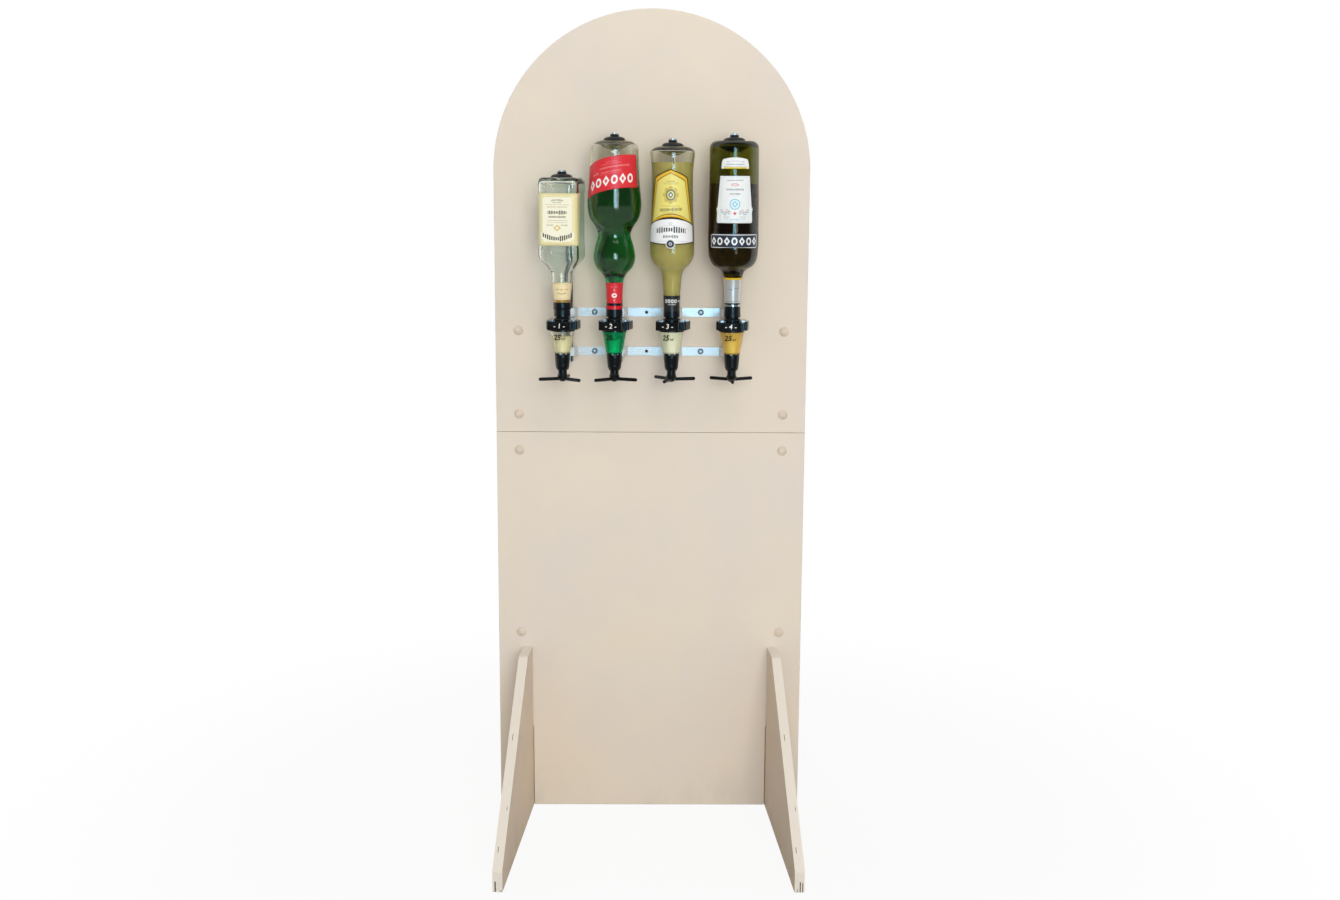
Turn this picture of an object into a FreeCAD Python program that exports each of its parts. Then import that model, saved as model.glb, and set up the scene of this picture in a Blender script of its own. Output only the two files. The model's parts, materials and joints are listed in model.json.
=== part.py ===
import FreeCAD, Part
import math
import os

# Free-standing bar measure stand: an arched board on two cross-lapped feet carries two rails, and on
# them four stations. A station is a tube with a sprung grip above an inverted bottle, and a fork below
# that holds the bottle's push-up spirit measure. Millimetres, +Z up, front is -Y, and the origin is
# under the middle of the board. Inside a station the bottle's axis is X = Y = 0.

# ---- making ----
past = 1.0                      # a cutter runs this far past the face that it cuts
same = 1e-3                     # levels this close are one level

# ---- board ----
board_width = 600.0
board_height = 1565.0
board_thick = 18.0
seam_level = 765.0
seam_gap = 0.6
board_chamfer = 1.0

# ---- feet ----
foot_inset = 58.0               # from the board's side to the foot's middle
foot_splay = 3.8                # degrees, toes outward
foot_thick = 18.0
foot_reach = 402.0              # from the board's face to the toe
foot_height = 332.0
foot_shelf = 67.0               # flat top beyond the board's face
toe_height = 40.0
toe_radius = 8.0
shelf_radius = 14.0
lap_level = 166.0
lap_clearance = 0.3

# ---- battens and their bolts ----
batten_inset = 44.0             # from the board's side to the batten's middle
batten_width = 45.0
batten_thick = 18.0
batten_gap = 6.0                # above the feet
batten_top = 1000.0
batten_chamfer = 2.0
bolt_above_foot = 25.0          # from a batten's lower end to its first bolt
bolt_below_seam = 35.0
bolt_above_seam = 36.0
bolt_below_top = 37.0
bolt_radius = 4.0
bolt_tail = 6.0                 # beyond the nut
bolt_head_radius = 9.4
bolt_head_height = 4.6
bolt_head_rim = 0.8
bolt_square = 8.0
bolt_square_depth = 5.0
bolt_end_chamfer = 1.0
bolt_clearance = 0.2
washer_radius = 12.0
washer_thick = 1.8
nut_clearance = 0.08
nut_foot_radius = 8.2
nut_top_radius = 6.3
nut_height = 9.0
wing_span = 38.0
wing_rise = 19.0
wing_thick = 3.4
wing_root_gap = 1.0             # from the bolt's thread to the wing's root
wing_edge = [(0.55, 0.20), (1.0, 0.62), (0.68, 0.98)]   # shares of the half span and of the rise
wing_turns = (25.0, -40.0, 70.0, 10.0, -15.0, 55.0, 90.0, -65.0)

# ---- rails ----
lower_rail_level = 924.2
upper_rail_level = 999.5
rail_height = 16.5
rail_thick = 2.0
rail_overhang = 22.0            # past the outer tubes' axes
rail_bend_radius = 1.2
bridge_top = 7.4                # half width inside, over the tube
bridge_foot = 14.6              # half width inside, on the board
bridge_clearance = 0.15
dart_width = 11.0
dart_rise = 2.4
dart_sink = 0.25                # its edges lie this deep in the rail
rail_hole_radius = 3.0
screw_radius = 2.4
screw_head_radius = 5.75
screw_head_height = 3.2
screw_head_rim = 0.7
screw_length = 15.0             # in the board
screw_slot_width = 1.3
screw_slot_length = 6.4
screw_slot_depth = 1.6
screw_clearance = 0.1
screw_tip_gap = 0.5
screw_turn = 30.0

# ---- tubes and grips ----
first_spine = -156.5            # X of the four tubes
second_spine = -61.5
third_spine = 43.0
fourth_spine = 147.0
tube_radius = 6.35
tube_bore_radius = 5.15
tube_foot = 905.0
tube_top = 1175.0
bush_flange_thick = 2.0
bush_depth = 12.0
bush_clearance = 0.05
rod_radius = 3.5
rod_stub = 1.0                  # of the rod, above the arm
piston_height = 6.0
piston_clearance = 0.07
grip_spring_length = 110.0
grip_spring_turns = 9
spring_fill = 0.55              # the wire's share of the room between rod and tube
reach = 78.5                    # from the tube's axis to the bottle's axis
arm_width = 14.0
arm_thick = 3.0
arm_tail_radius = 5.8           # over the tube, clear of the board
arm_drop = 9.0                  # the arm's tail lies this much lower than its end over the bell
arm_crank_start = 10.0          # from the bottle's axis
arm_crank_end = 24.0
bell_radius = 20.0
bell_rim = 2.0
bell_height = 6.2
bell_lip = 1.2
bell_cup = 3.6
bell_cup_share = 0.6            # the cup's flat crown, as a share of the bell's radius
bell_cup_edge = 2.6
bell_shoulders = [(0.88, 0.62), (0.66, 0.90)]   # shares of the bell's radius and height
boss_radius = 7.8
boss_height = 4.3
bell_stem_radius = 3.0
bell_seat_gap = 0.3

# ---- fork ----
fork_level = 990.0              # underside of the plate
fork_thick = 2.5
fork_half_width = 27.0
fork_front = 12.0
fork_shoulder = 14.0
fork_rear = 38.0
fork_rear_half_width = 10.0
fork_tip_radius = 5.0
fork_web_thick = 3.0
fork_web_start = 28.5
fork_web_depth = 13.0
fork_clip_radius = 9.4
fork_clip_height = 21.0
fork_clip_clearance = 0.06
fork_clip_tail = 5.0            # behind the tube's axis, where the clip is open

# ---- bung and bottles ----
mouth_level = 998.0
flow_radius = 4.5
bung_flange_radius = 15.6
bung_flange_height = 1.2
bung_waist_radius = 10.0
bung_radius = 10.7
bung_length = 22.0              # inside the bottle's neck
bung_chamfer = 1.5
mouth_bore_radius = 10.9
lip_radius = 14.85
lip_height = 11.0
lip_gap = 0.3
glass_wall = 3.4
glass_base = 6.5
punt_radius = 17.0              # the hollow in the base, inside the rim of the bell
punt_rise = 3.0                 # how much more than outside the base bulges inside
square_punt_depth = 4.0

# ---- spirit measure ----
collar_height = 16.0
collar_front = 27.0
collar_front_half_width = 23.6
collar_step = 7.0               # the wings start this far in front of the axis
collar_half_width = 29.6
collar_rear = 26.0
collar_corner_radius = 3.0
collar_chamfer = 0.7
collar_neck_radius = 12.0
collar_neck_clearance = 0.3
collar_roof = 4.0
collar_skirt_radius = 23.5
collar_skirt_height = 3.0
chamber_radius = 22.7
chamber_clearance = 0.2
chamber_taper_top = 971.0
chamber_taper_foot = 930.0
chamber_foot_radius = 15.3
chamber_wall = 2.0
chamber_spigot_radius = 12.6
chamber_spigot_length = 10.0
body_rim_radius = 14.2
body_rim_height = 8.0
body_foot_level = 898.0
body_foot_radius = 10.4
body_waist_radius = 12.9        # where the long taper ends and the body turns in to its foot
body_waist_rise = 9.5
body_foot_bow = (12.2, 4.0)     # radius of the turn half way, and how high that is
body_floor_level = 912.0
body_floor_thick = 5.0
body_spigot_gap = 0.3
castle_count = 8
castle_width = 4.6
castle_depth = 3.0
flute_radius = 2.6              # round-ended grooves down the body
flute_depth = 0.55
flute_top = 3.0                 # from a groove's round end to the rim's foot and to the waist
flute_foot = 1.0

# ---- valve and trigger ----
valve_travel = 8.0
stem_radius = 2.5
seal_radius = 7.0
seal_thick = 3.0
seal_gap = 0.3
float_foot_radius = 7.7         # tapered displacer on the stem, from the outlet seal up
float_top_radius = 8.6
float_length = 37.0
float_chamfer = 1.2
stem_collar_radius = 5.6
stem_collar_thick = 1.5
stem_rivet_radius = 4.0
stem_rivet_thick = 1.0
hub_play = 0.2
hub_clearance = 0.05
sleeve_radius = 8.32
sleeve_clearance = 0.08
sleeve_top = 903.4
sleeve_foot = 889.6
pocket_radius = 6.8
pocket_floor = 891.2
sleeve_groove_level = 893.0
sleeve_groove_height = 1.4
sleeve_groove_depth = 0.5
hub_waist_radius = 9.2
hub_waist_level = 882.4
hub_swell_radius = 9.8
hub_swell_level = 886.4
hub_foot_radius = 6.0
hub_foot_level = 877.4
finger_count = 3
finger_level = 881.2
finger_radius = 3.25
finger_length = 46.4
finger_root_gap = 1.2           # from the stem to a finger's root
valve_spring_turns = 4
valve_spring_fill = 0.4         # the wire, as a share of the stem's radius
spring_gap = 0.2

# ---- the four stations: the bottle, the swing of the grip and fork about the tube, and how far the
# measure, its trigger and the bottle are turned about the bottle's axis, in degrees ----
stations = (
    {"bottle": "square", "swing": -7.3, "measure_turn": -10.0, "trigger_turn": -72.0, "bottle_turn": -10.0},
    {"bottle": "bulbed", "swing": -5.5, "measure_turn": -14.0, "trigger_turn": -52.0, "bottle_turn": 0.0},
    {"bottle": "flared", "swing": -3.7, "measure_turn": -17.5, "trigger_turn": -18.0, "bottle_turn": 0.0},
    {"bottle": "straight", "swing": 3.2, "measure_turn": -8.5, "trigger_turn": 0.0, "bottle_turn": 0.0},
)

# ---- round bottles, as (radius, height above the mouth) up the outside, mouth down ----
round_bottles = {
    "bulbed": [(14.3, 26), (16.5, 64), (20.6, 77), (33.5, 92), (38.9, 109), (35.8, 130), (30.3, 151),
               (34.4, 165), (45.3, 183), (49.8, 205), (47.0, 243), (45.3, 280), (44.6, 306)],
    "flared": [(14.6, 26), (17.2, 62), (20.6, 84), (36.2, 103), (41.1, 121), (38.6, 205), (38.3, 268),
               (41.6, 301)],
    "straight": [(14.4, 26), (17.3, 72), (22.0, 85.5), (39.6, 99.5), (46.3, 121), (46.9, 180),
                 (46.0, 253), (45.5, 310)],
}
bottle_heights = {"square": 256.0, "bulbed": 324.0, "flared": 314.0, "straight": 324.0}

# ---- bases of the round bottles: how far the heel runs in from where the outline above ends, the depth
# of the punt, and the radius of the bulge that it makes inside ----
bases = {
    "bulbed": {"heel": 26.0, "punt": 9.0, "bulge": 31.0},
    "flared": {"heel": 22.0, "punt": 8.0, "bulge": 26.0},
    "straight": {"heel": 12.0, "punt": 12.0, "bulge": 29.0},
}
heel_radius = 9.0               # of the square bottle

# ---- square bottle, as (half width, height above the mouth, corner radius) up the outside ----
square_neck = [(14.4, 11, 14.3), (14.4, 26, 14.3), (18.7, 62, 18.6), (20.0, 82, 19.9)]
square_shoulder = [(20.0, 82, 19.9), (25.5, 91, 22.0), (32.8, 101, 19.0), (36.8, 108, 14.5),
                   (37.8, 114, 12.0)]
square_body = [(37.8, 114, 12.0), (37.8, 129, 12.0), (36.8, 132, 11.4), (36.8, 228, 11.4),
               (37.8, 231, 12.0)]

# ---- derived levels and places ----
board_face = -board_thick / 2
board_back = board_thick / 2
foot_x = board_width / 2 - foot_inset
batten_x = board_width / 2 - batten_inset
batten_foot = foot_height + batten_gap
bolt_levels = (batten_foot + bolt_above_foot, seam_level - bolt_below_seam,
               seam_level + bolt_above_seam, batten_top - bolt_below_top)
rail_levels = (lower_rail_level, upper_rail_level)
spine_x = (first_spine, second_spine, third_spine, fourth_spine)
spine_y = board_face - tube_radius - bridge_clearance
fork_top = fork_level + fork_thick
collar_foot = fork_level - collar_height
chamber_top = fork_level - collar_roof
piston_top = tube_top - bush_depth - grip_spring_length - 2 * spring_gap

UP = FreeCAD.Vector(0, 0, 1)
BACK = FreeCAD.Vector(0, 1, 0)
ORIGIN = FreeCAD.Vector(0, 0, 0)


def block(x0, x1, y0, y1, z0, z1):
    return Part.makeBox(x1 - x0, y1 - y0, z1 - z0, FreeCAD.Vector(x0, y0, z0))


def cylinder(radius, z0, z1, x=0.0, y=0.0):
    return Part.makeCylinder(radius, z1 - z0, FreeCAD.Vector(x, y, z0), UP)


def polygon_face(points):
    return Part.Face(Part.makePolygon([*points, points[0]]))


def turned(edges):
    """Solid of revolution about Z from a closed chain of edges in the XZ plane."""
    return Part.Face(Part.Wire(edges)).revolve(ORIGIN, UP, 360)


def at_radius(point):
    return FreeCAD.Vector(point[0], 0, point[1])


def chain(points):
    """Straight edges through (radius, level) points, with none between two that are the same."""
    vectors = [at_radius(point) for point in points]
    return [Part.makeLine(a, b) for a, b in zip(vectors, vectors[1:]) if (b - a).Length > same]


def arc(start, middle, end):
    return Part.Arc(at_radius(start), at_radius(middle), at_radius(end)).toShape()


def dome(radius, rim_level, crown_level):
    """Arc of a ball centred on the axis, from its rim to its crown."""
    rise = crown_level - rim_level
    ball = (radius ** 2 + rise ** 2) / (2 * rise)
    half_angle = math.asin(radius / abs(ball)) / 2
    middle = (abs(ball) * math.sin(half_angle), crown_level - ball * (1 - math.cos(half_angle)))
    return arc((radius, rim_level), middle, (0, crown_level))


def quarter_ellipse(start, corner, end):
    """Quarter of an ellipse that touches both sides of a corner."""
    curve = Part.BezierCurve()
    curve.setPoles([at_radius(point) for point in (start, corner, end)])
    curve.setWeight(2, math.sqrt(0.5))
    return curve.toShape()


def turned_outline(points):
    return turned(chain([*points, points[0]]))


def filleted(solid, radius, wanted):
    return solid.makeFillet(radius, [edge for edge in solid.Edges if wanted(edge)])


def chamfered(solid, size, wanted):
    return solid.makeChamfer(size, [edge for edge in solid.Edges if wanted(edge)])


def stands_up(edge):
    """True for an edge parallel to Z."""
    a, b = edge.Vertexes[0].Point, edge.Vertexes[-1].Point
    return (a - b).Length > same and abs(abs(a.z - b.z) - (a - b).Length) < same


def lies_at(edge, level):
    return all(abs(vertex.Z - level) < same for vertex in edge.Vertexes)


def placed(solid, x, y, turn):
    """Turned about its own Z axis, then moved to its place on the stand."""
    copy = solid.copy()
    place = FreeCAD.Placement(FreeCAD.Vector(x, y, 0), FreeCAD.Rotation(UP, turn))
    copy.Placement = place.multiply(copy.Placement)
    return copy


def bottle_axis(station):
    """Where the bottle stands, swung about its tube."""
    swing = math.radians(stations[station]["swing"])
    return spine_x[station] + reach * math.sin(swing), spine_y - reach * math.cos(swing)


# ---- board and feet ----
def lap_width(own_thick, other_thick):
    """Slot across a board that another board passes through at the splay angle."""
    splay = math.radians(foot_splay)
    return (other_thick + own_thick * math.sin(splay)) / math.cos(splay) + lap_clearance


def bolt_places():
    return [(side * batten_x, level) for side in (-1, 1) for level in bolt_levels]


def bolt_holes():
    radius = bolt_radius + bolt_clearance
    half_square = bolt_square / 2 + bolt_clearance / 2
    holes = []
    for x, level in bolt_places():
        start = FreeCAD.Vector(x, board_face - past, level)
        shank = Part.makeCylinder(radius, board_thick + batten_thick + 2 * past, start, BACK)
        square = block(x - half_square, x + half_square, board_face - past, board_face + bolt_square_depth,
                       level - half_square, level + half_square)
        holes += [shank, square]
    return holes


def panel_edges(level):
    """The outline edges of a panel that get a small chamfer, seam included and foot excluded."""
    def wanted(edge):
        points = [vertex.Point for vertex in edge.Vertexes]
        on_a_face = all(abs(abs(p.y) - board_thick / 2) < same for p in points)
        one_face = all(abs(p.y - points[0].y) < same for p in points)
        on_side = all(abs(abs(p.x) - board_width / 2) < same for p in points)
        return on_a_face and one_face and (on_side or lies_at(edge, level))
    return wanted


def upper_panel():
    half = board_width / 2
    spring_line = board_height - half
    foot = seam_level + seam_gap
    corners = [FreeCAD.Vector(-half, board_face, spring_line), FreeCAD.Vector(-half, board_face, foot),
               FreeCAD.Vector(half, board_face, foot), FreeCAD.Vector(half, board_face, spring_line)]
    crown = Part.Arc(corners[3], FreeCAD.Vector(0, board_face, board_height), corners[0]).toShape()
    sides = [Part.makeLine(a, b) for a, b in zip(corners, corners[1:])]
    panel = Part.Face(Part.Wire([*sides, crown])).extrude(BACK * board_thick)
    panel = chamfered(panel, board_chamfer, panel_edges(foot))
    return panel.cut([*bolt_holes(), *pilot_holes(), *spare_holes()])


def lower_panel():
    half = board_width / 2
    panel = block(-half, half, board_face, board_back, 0, seam_level)
    panel = chamfered(panel, board_chamfer, panel_edges(seam_level))
    half_slot = lap_width(board_thick, foot_thick) / 2
    slots = [block(x - half_slot, x + half_slot, board_face - past, board_back + past,
                   -past, lap_level + lap_clearance) for x in (-foot_x, foot_x)]
    return panel.cut([*slots, *bolt_holes()])


def foot(side):
    """One foot, from its own middle plane, turned outward by the splay."""
    toe = foot_reach + board_thick / 2
    shelf = foot_shelf + board_thick / 2
    outline = [(-toe, 0), (toe, 0), (toe, toe_height), (shelf, foot_height),
               (-shelf, foot_height), (-toe, toe_height)]
    face = polygon_face([FreeCAD.Vector(-foot_thick / 2, y, z) for y, z in outline])
    plate = face.extrude(FreeCAD.Vector(foot_thick, 0, 0))

    def crosses_at(level):
        return lambda edge: lies_at(edge, level) and abs(edge.Length - foot_thick) < same

    plate = filleted(plate, toe_radius, crosses_at(toe_height))
    plate = filleted(plate, shelf_radius, crosses_at(foot_height))
    half_slot = lap_width(foot_thick, board_thick) / 2
    slot = block(-foot_thick, foot_thick, -half_slot, half_slot, lap_level, foot_height + past)
    return placed(plate.cut(slot), side * foot_x, 0, side * foot_splay)


def batten(side):
    x = side * batten_x
    bar = block(x - batten_width / 2, x + batten_width / 2, board_back, board_back + batten_thick,
                batten_foot, batten_top)
    rear = board_back + batten_thick

    def on_rear_face(edge):
        return all(abs(vertex.Y - rear) < same for vertex in edge.Vertexes)

    return chamfered(bar, batten_chamfer, on_rear_face).cut(bolt_holes())


# ---- fasteners ----
def coach_bolt(x, level):
    """Domed head on the board's face, square neck in it, shank through batten, washer and nut."""
    length = board_thick + batten_thick + washer_thick + nut_height + bolt_tail
    head = turned([dome(bolt_head_radius, bolt_head_rim, bolt_head_height),
                   *chain([(0, bolt_head_height), (0, 0), (bolt_head_radius, 0),
                           (bolt_head_radius, bolt_head_rim)])])
    shank = cylinder(bolt_radius, -length, 0)
    half = bolt_square / 2
    square = block(-half, half, -half, half, -bolt_square_depth, 0)
    shank = chamfered(shank, bolt_end_chamfer, lambda edge: lies_at(edge, -length))
    bolt = shank.fuse([head, square]).removeSplitter()
    bolt.Placement = FreeCAD.Placement(FreeCAD.Vector(x, board_face, level),
                                       FreeCAD.Rotation(FreeCAD.Vector(1, 0, 0), 90))
    return bolt


def washer(x, level):
    start = FreeCAD.Vector(x, board_back + batten_thick, level)
    disc = Part.makeCylinder(washer_radius, washer_thick, start, BACK)
    return disc.cut(Part.makeCylinder(bolt_radius + bolt_clearance, washer_thick, start, BACK))


def wing_nut(x, level, turn):
    """Conical hub with two rounded wings, modelled along Z and then laid along +Y."""
    hub = turned_outline([(bolt_radius + nut_clearance, 0), (nut_foot_radius, 0),
                          (nut_top_radius, nut_height), (bolt_radius + nut_clearance, nut_height)])
    root = bolt_radius + wing_root_gap
    low, middle, high = [(wing_span / 2 * out, wing_rise * up) for out, up in wing_edge]
    edges = [arc(low, middle, high), *chain([high, (root, nut_height), (root, 0), low])]
    wing = Part.Face(Part.Wire(edges)).extrude(BACK * wing_thick)
    wing.translate(BACK * (-wing_thick / 2))
    other = wing.copy()
    other.rotate(ORIGIN, UP, 180)
    nut = hub.fuse([wing, other])
    nut.rotate(ORIGIN, UP, turn)
    seat = FreeCAD.Placement(FreeCAD.Vector(x, board_back + batten_thick + washer_thick, level),
                             FreeCAD.Rotation(FreeCAD.Vector(1, 0, 0), -90))
    nut.Placement = seat.multiply(nut.Placement)
    return nut


# ---- rails ----
def rail_hole_places():
    """Half way between neighbouring tubes; the outer ones carry the screws."""
    return [(a + b) / 2 for a, b in zip(spine_x, spine_x[1:])]


def screw_places():
    places = rail_hole_places()
    return [(x, level) for x in (places[0], places[-1]) for level in rail_levels]


def pilot_holes():
    return [Part.makeCylinder(screw_radius + screw_clearance, screw_length + screw_tip_gap,
                              FreeCAD.Vector(x, board_face, level), BACK) for x, level in screw_places()]


def spare_holes():
    """The middle pair of rail holes goes on into the board, blind as the screws' own holes are."""
    x = rail_hole_places()[1]
    return [Part.makeCylinder(rail_hole_radius, screw_length, FreeCAD.Vector(x, board_face, level), BACK)
            for level in rail_levels]


def offset_line(points, distance):
    """The same open line moved sideways, with mitred corners."""
    normals = []
    for a, b in zip(points, points[1:]):
        length = math.hypot(b[0] - a[0], b[1] - a[1])
        normals.append(((b[1] - a[1]) / length, (a[0] - b[0]) / length))
    moved = []
    for index, (x, y) in enumerate(points):
        before = normals[max(index - 1, 0)]
        after = normals[min(index, len(normals) - 1)]
        share = distance / (1 + before[0] * after[0] + before[1] * after[1])
        moved.append((x + share * (before[0] + after[0]), y + share * (before[1] + after[1])))
    return moved


def rail_line():
    """The rail's back, seen from above: flat on the board, with a bridge over each tube."""
    bridge_y = board_face - 2 * tube_radius - 2 * bridge_clearance
    line = [(spine_x[0] - rail_overhang, board_face)]
    for x in spine_x:
        line += [(x - bridge_foot, board_face), (x - bridge_top, bridge_y),
                 (x + bridge_top, bridge_y), (x + bridge_foot, board_face)]
    return [*line, (spine_x[-1] + rail_overhang, board_face)]


def dart(spine, side, front, level):
    """A pressed stiffener on a bridge's ramp: a low pyramid that points at the ramp's foot."""
    top = [FreeCAD.Vector(spine + side * front[0][0], front[0][1], level + half)
           for half in (-dart_width / 2, dart_width / 2)]
    foot_point = FreeCAD.Vector(spine + side * front[1][0], front[1][1], level)
    ridge = FreeCAD.Vector(spine + side * (front[0][0] + dart_rise), front[0][1], level)
    faces = [(top[0], top[1], foot_point), (top[0], top[1], ridge), (top[0], foot_point, ridge),
             (top[1], foot_point, ridge)]
    return Part.Solid(Part.Shell([polygon_face(list(face)) for face in faces]))


def rail(level):
    back = rail_line()
    front = offset_line(back, rail_thick)
    low = level - rail_height / 2
    outline = [FreeCAD.Vector(x, y, low) for x, y in [*back, *reversed(front)]]
    strip = polygon_face(outline).extrude(UP * rail_height)
    ends = (back[0][0], back[-1][0])

    def bend(edge):
        return stands_up(edge) and all(abs(edge.Vertexes[0].X - x) > same for x in ends)

    strip = filleted(strip, rail_bend_radius, bend)
    ramp_top = (front[3][0] - spine_x[0] - dart_sink, front[3][1] + 2 * dart_sink)
    ramp_foot = (front[4][0] - spine_x[0] - dart_sink, front[4][1] + dart_sink)
    darts = [dart(x, side, (ramp_top, ramp_foot), level) for x in spine_x for side in (-1, 1)]
    holes = [Part.makeCylinder(rail_hole_radius, 4 * rail_thick,
                               FreeCAD.Vector(x, board_face - 2 * rail_thick, level), BACK)
             for x in rail_hole_places()]
    return strip.fuse(darts).cut(holes)


def rail_screw(x, level):
    """Round head with a cross recess, on the rail's face."""
    head = turned([dome(screw_head_radius, screw_head_rim, screw_head_height),
                   *chain([(0, screw_head_height), (0, 0), (screw_head_radius, 0),
                           (screw_head_radius, screw_head_rim)])])
    shank = cylinder(screw_radius, -screw_length - rail_thick, 0)
    half, width = screw_slot_length / 2, screw_slot_width / 2
    floor = screw_head_height - screw_slot_depth
    cross = [block(-half, half, -width, width, floor, screw_head_height + past),
             block(-width, width, -half, half, floor, screw_head_height + past)]
    screw = head.fuse(shank).cut(cross)
    screw.rotate(ORIGIN, UP, screw_turn)
    seat = FreeCAD.Placement(FreeCAD.Vector(x, board_face - rail_thick, level),
                             FreeCAD.Rotation(FreeCAD.Vector(1, 0, 0), 90))
    screw.Placement = seat.multiply(screw.Placement)
    return screw


# ---- tube, grip and fork ----
def spine_tube():
    return cylinder(tube_radius, tube_foot, tube_top).cut(cylinder(tube_bore_radius, tube_foot, tube_top))


def tube_bush():
    bore = rod_radius + bush_clearance
    flange_top = tube_top + bush_flange_thick
    return turned_outline([(bore, tube_top - bush_depth), (tube_bore_radius, tube_top - bush_depth),
                           (tube_bore_radius, tube_top), (tube_radius, tube_top), (tube_radius, flange_top),
                           (bore, flange_top)])


def arm_level(base_level):
    return base_level + bell_seat_gap + bell_height + boss_height


def grip_rod(base_level):
    """Piston and rod in the tube, and the cranked arm that rises over the bell on the bottle."""
    front = arm_level(base_level)
    rear = front - arm_drop
    rod = cylinder(rod_radius, piston_top - piston_height, rear + arm_thick + rod_stub, 0, reach)
    piston = cylinder(tube_bore_radius - piston_clearance, piston_top - piston_height, piston_top, 0, reach)
    half, tail = arm_width / 2, arm_tail_radius
    underside = [(0, front), (arm_crank_start, front), (arm_crank_end, rear), (reach, rear)]
    side = [*underside, *[(y, z + arm_thick) for y, z in reversed(underside)]]
    strip = polygon_face([FreeCAD.Vector(-half, y, z) for y, z in side])
    strip = strip.extrude(FreeCAD.Vector(arm_width, 0, 0))
    plan = [(-half, 0), (half, 0), (tail, reach), (-tail, reach)]
    taper = polygon_face([FreeCAD.Vector(x, y, rear - past) for x, y in plan])
    strip = strip.common(taper.extrude(UP * (arm_drop + arm_thick + 2 * past)))
    ends = [cylinder(radius, level, level + arm_thick, 0, y)
            for radius, y, level in ((half, 0, front), (tail, reach, rear))]
    hole = cylinder(bell_stem_radius + bush_clearance, front - past, front + arm_thick + past)
    return rod.fuse([piston, strip, *ends]).removeSplitter().cut(hole)


def rubber_bell(base_level):
    """Shallow cup that presses on the bottle's base, with a boss and a stem through the arm."""
    rim = base_level + bell_seat_gap
    crown = rim + bell_height
    underside = arm_level(base_level)
    cup = rim + bell_cup
    slope = [(bell_radius * out, rim + bell_height * up) for out, up in bell_shoulders]
    return turned_outline([
        (0, cup), (bell_radius * bell_cup_share, rim + bell_cup_edge), (bell_radius - bell_rim, rim),
        (bell_radius, rim), (bell_radius, rim + bell_lip), *slope, (boss_radius, crown),
        (boss_radius, underside), (bell_stem_radius, underside), (bell_stem_radius, underside + arm_thick),
        (0, underside + arm_thick)])


def bracket_fork():
    """Plate with a front slot for the measure's neck, on a web and a clip round the tube."""
    low, high = fork_level, fork_top
    outline = [(-fork_half_width, -fork_front), (fork_half_width, -fork_front),
               (fork_half_width, fork_shoulder), (fork_rear_half_width, fork_rear),
               (-fork_rear_half_width, fork_rear), (-fork_half_width, fork_shoulder)]
    plate = polygon_face([FreeCAD.Vector(x, y, low) for x, y in outline]).extrude(UP * fork_thick)
    slot = collar_neck_radius + collar_neck_clearance
    plate = plate.cut([cylinder(slot, low, high), block(-slot, slot, -fork_front - past, 0, low, high)])
    plate = filleted(plate, fork_tip_radius,
                     lambda edge: stands_up(edge) and edge.Vertexes[0].Y < -fork_front + same)
    clip_foot = fork_level - fork_clip_height
    half = fork_web_thick / 2
    web_outline = [(fork_web_start, low), (fork_web_start, low - fork_web_depth),
                   (reach - fork_clip_radius, clip_foot), (reach, clip_foot), (reach, low)]
    web = polygon_face([FreeCAD.Vector(-half, y, z) for y, z in web_outline])
    web = web.extrude(FreeCAD.Vector(fork_web_thick, 0, 0))
    clip = cylinder(fork_clip_radius, clip_foot, low, 0, reach)
    bore = cylinder(tube_radius + fork_clip_clearance, clip_foot - past, low + past, 0, reach)
    back = block(-fork_clip_radius, fork_clip_radius, reach + fork_clip_tail, reach + fork_clip_radius,
                 clip_foot - past, low + past)
    return plate.fuse([web, clip]).cut([bore, back])


# ---- bung and bottles ----
def bung():
    """Rubber bung in the bottle's neck; its flange sits on the fork and its bore feeds the measure."""
    top = mouth_level + bung_length
    return turned_outline([
        (flow_radius, fork_top), (bung_flange_radius, fork_top),
        (bung_flange_radius, fork_top + bung_flange_height), (bung_waist_radius, mouth_level - lip_gap),
        (bung_waist_radius, mouth_level), (bung_radius, mouth_level + bung_chamfer),
        (bung_radius, top - bung_chamfer), (bung_radius - bung_chamfer, top), (flow_radius, top)])


def neck_chain():
    """The lip outside, from the bore's mouth to the neck above it."""
    z = mouth_level
    return [(mouth_bore_radius, z), (lip_radius, z), (lip_radius, z + lip_height)]


def directions(points):
    """Unit tangents at the points of an outline, each along the chord between its neighbours."""
    tangents = []
    for index in range(len(points)):
        (x0, z0), (x1, z1) = points[max(index - 1, 0)], points[min(index + 1, len(points) - 1)]
        length = math.hypot(x1 - x0, z1 - z0)
        tangents.append(FreeCAD.Vector((x1 - x0) / length, 0, (z1 - z0) / length))
    return tangents


def arc_along(start, tangent, end):
    """Arc that leaves the start along the tangent, or a line where it would be all but straight."""
    chord = end - start
    along = tangent.dot(chord)
    side = tangent - chord * (along / chord.dot(chord))
    if side.Length < same:
        return Part.makeLine(start, end)
    bend = math.atan2(side.Length * chord.Length, along)
    middle = (start + end) / 2 + side.normalize() * (chord.Length / 2 * math.tan(bend / 2))
    return Part.Arc(start, middle, end).toShape()


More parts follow.
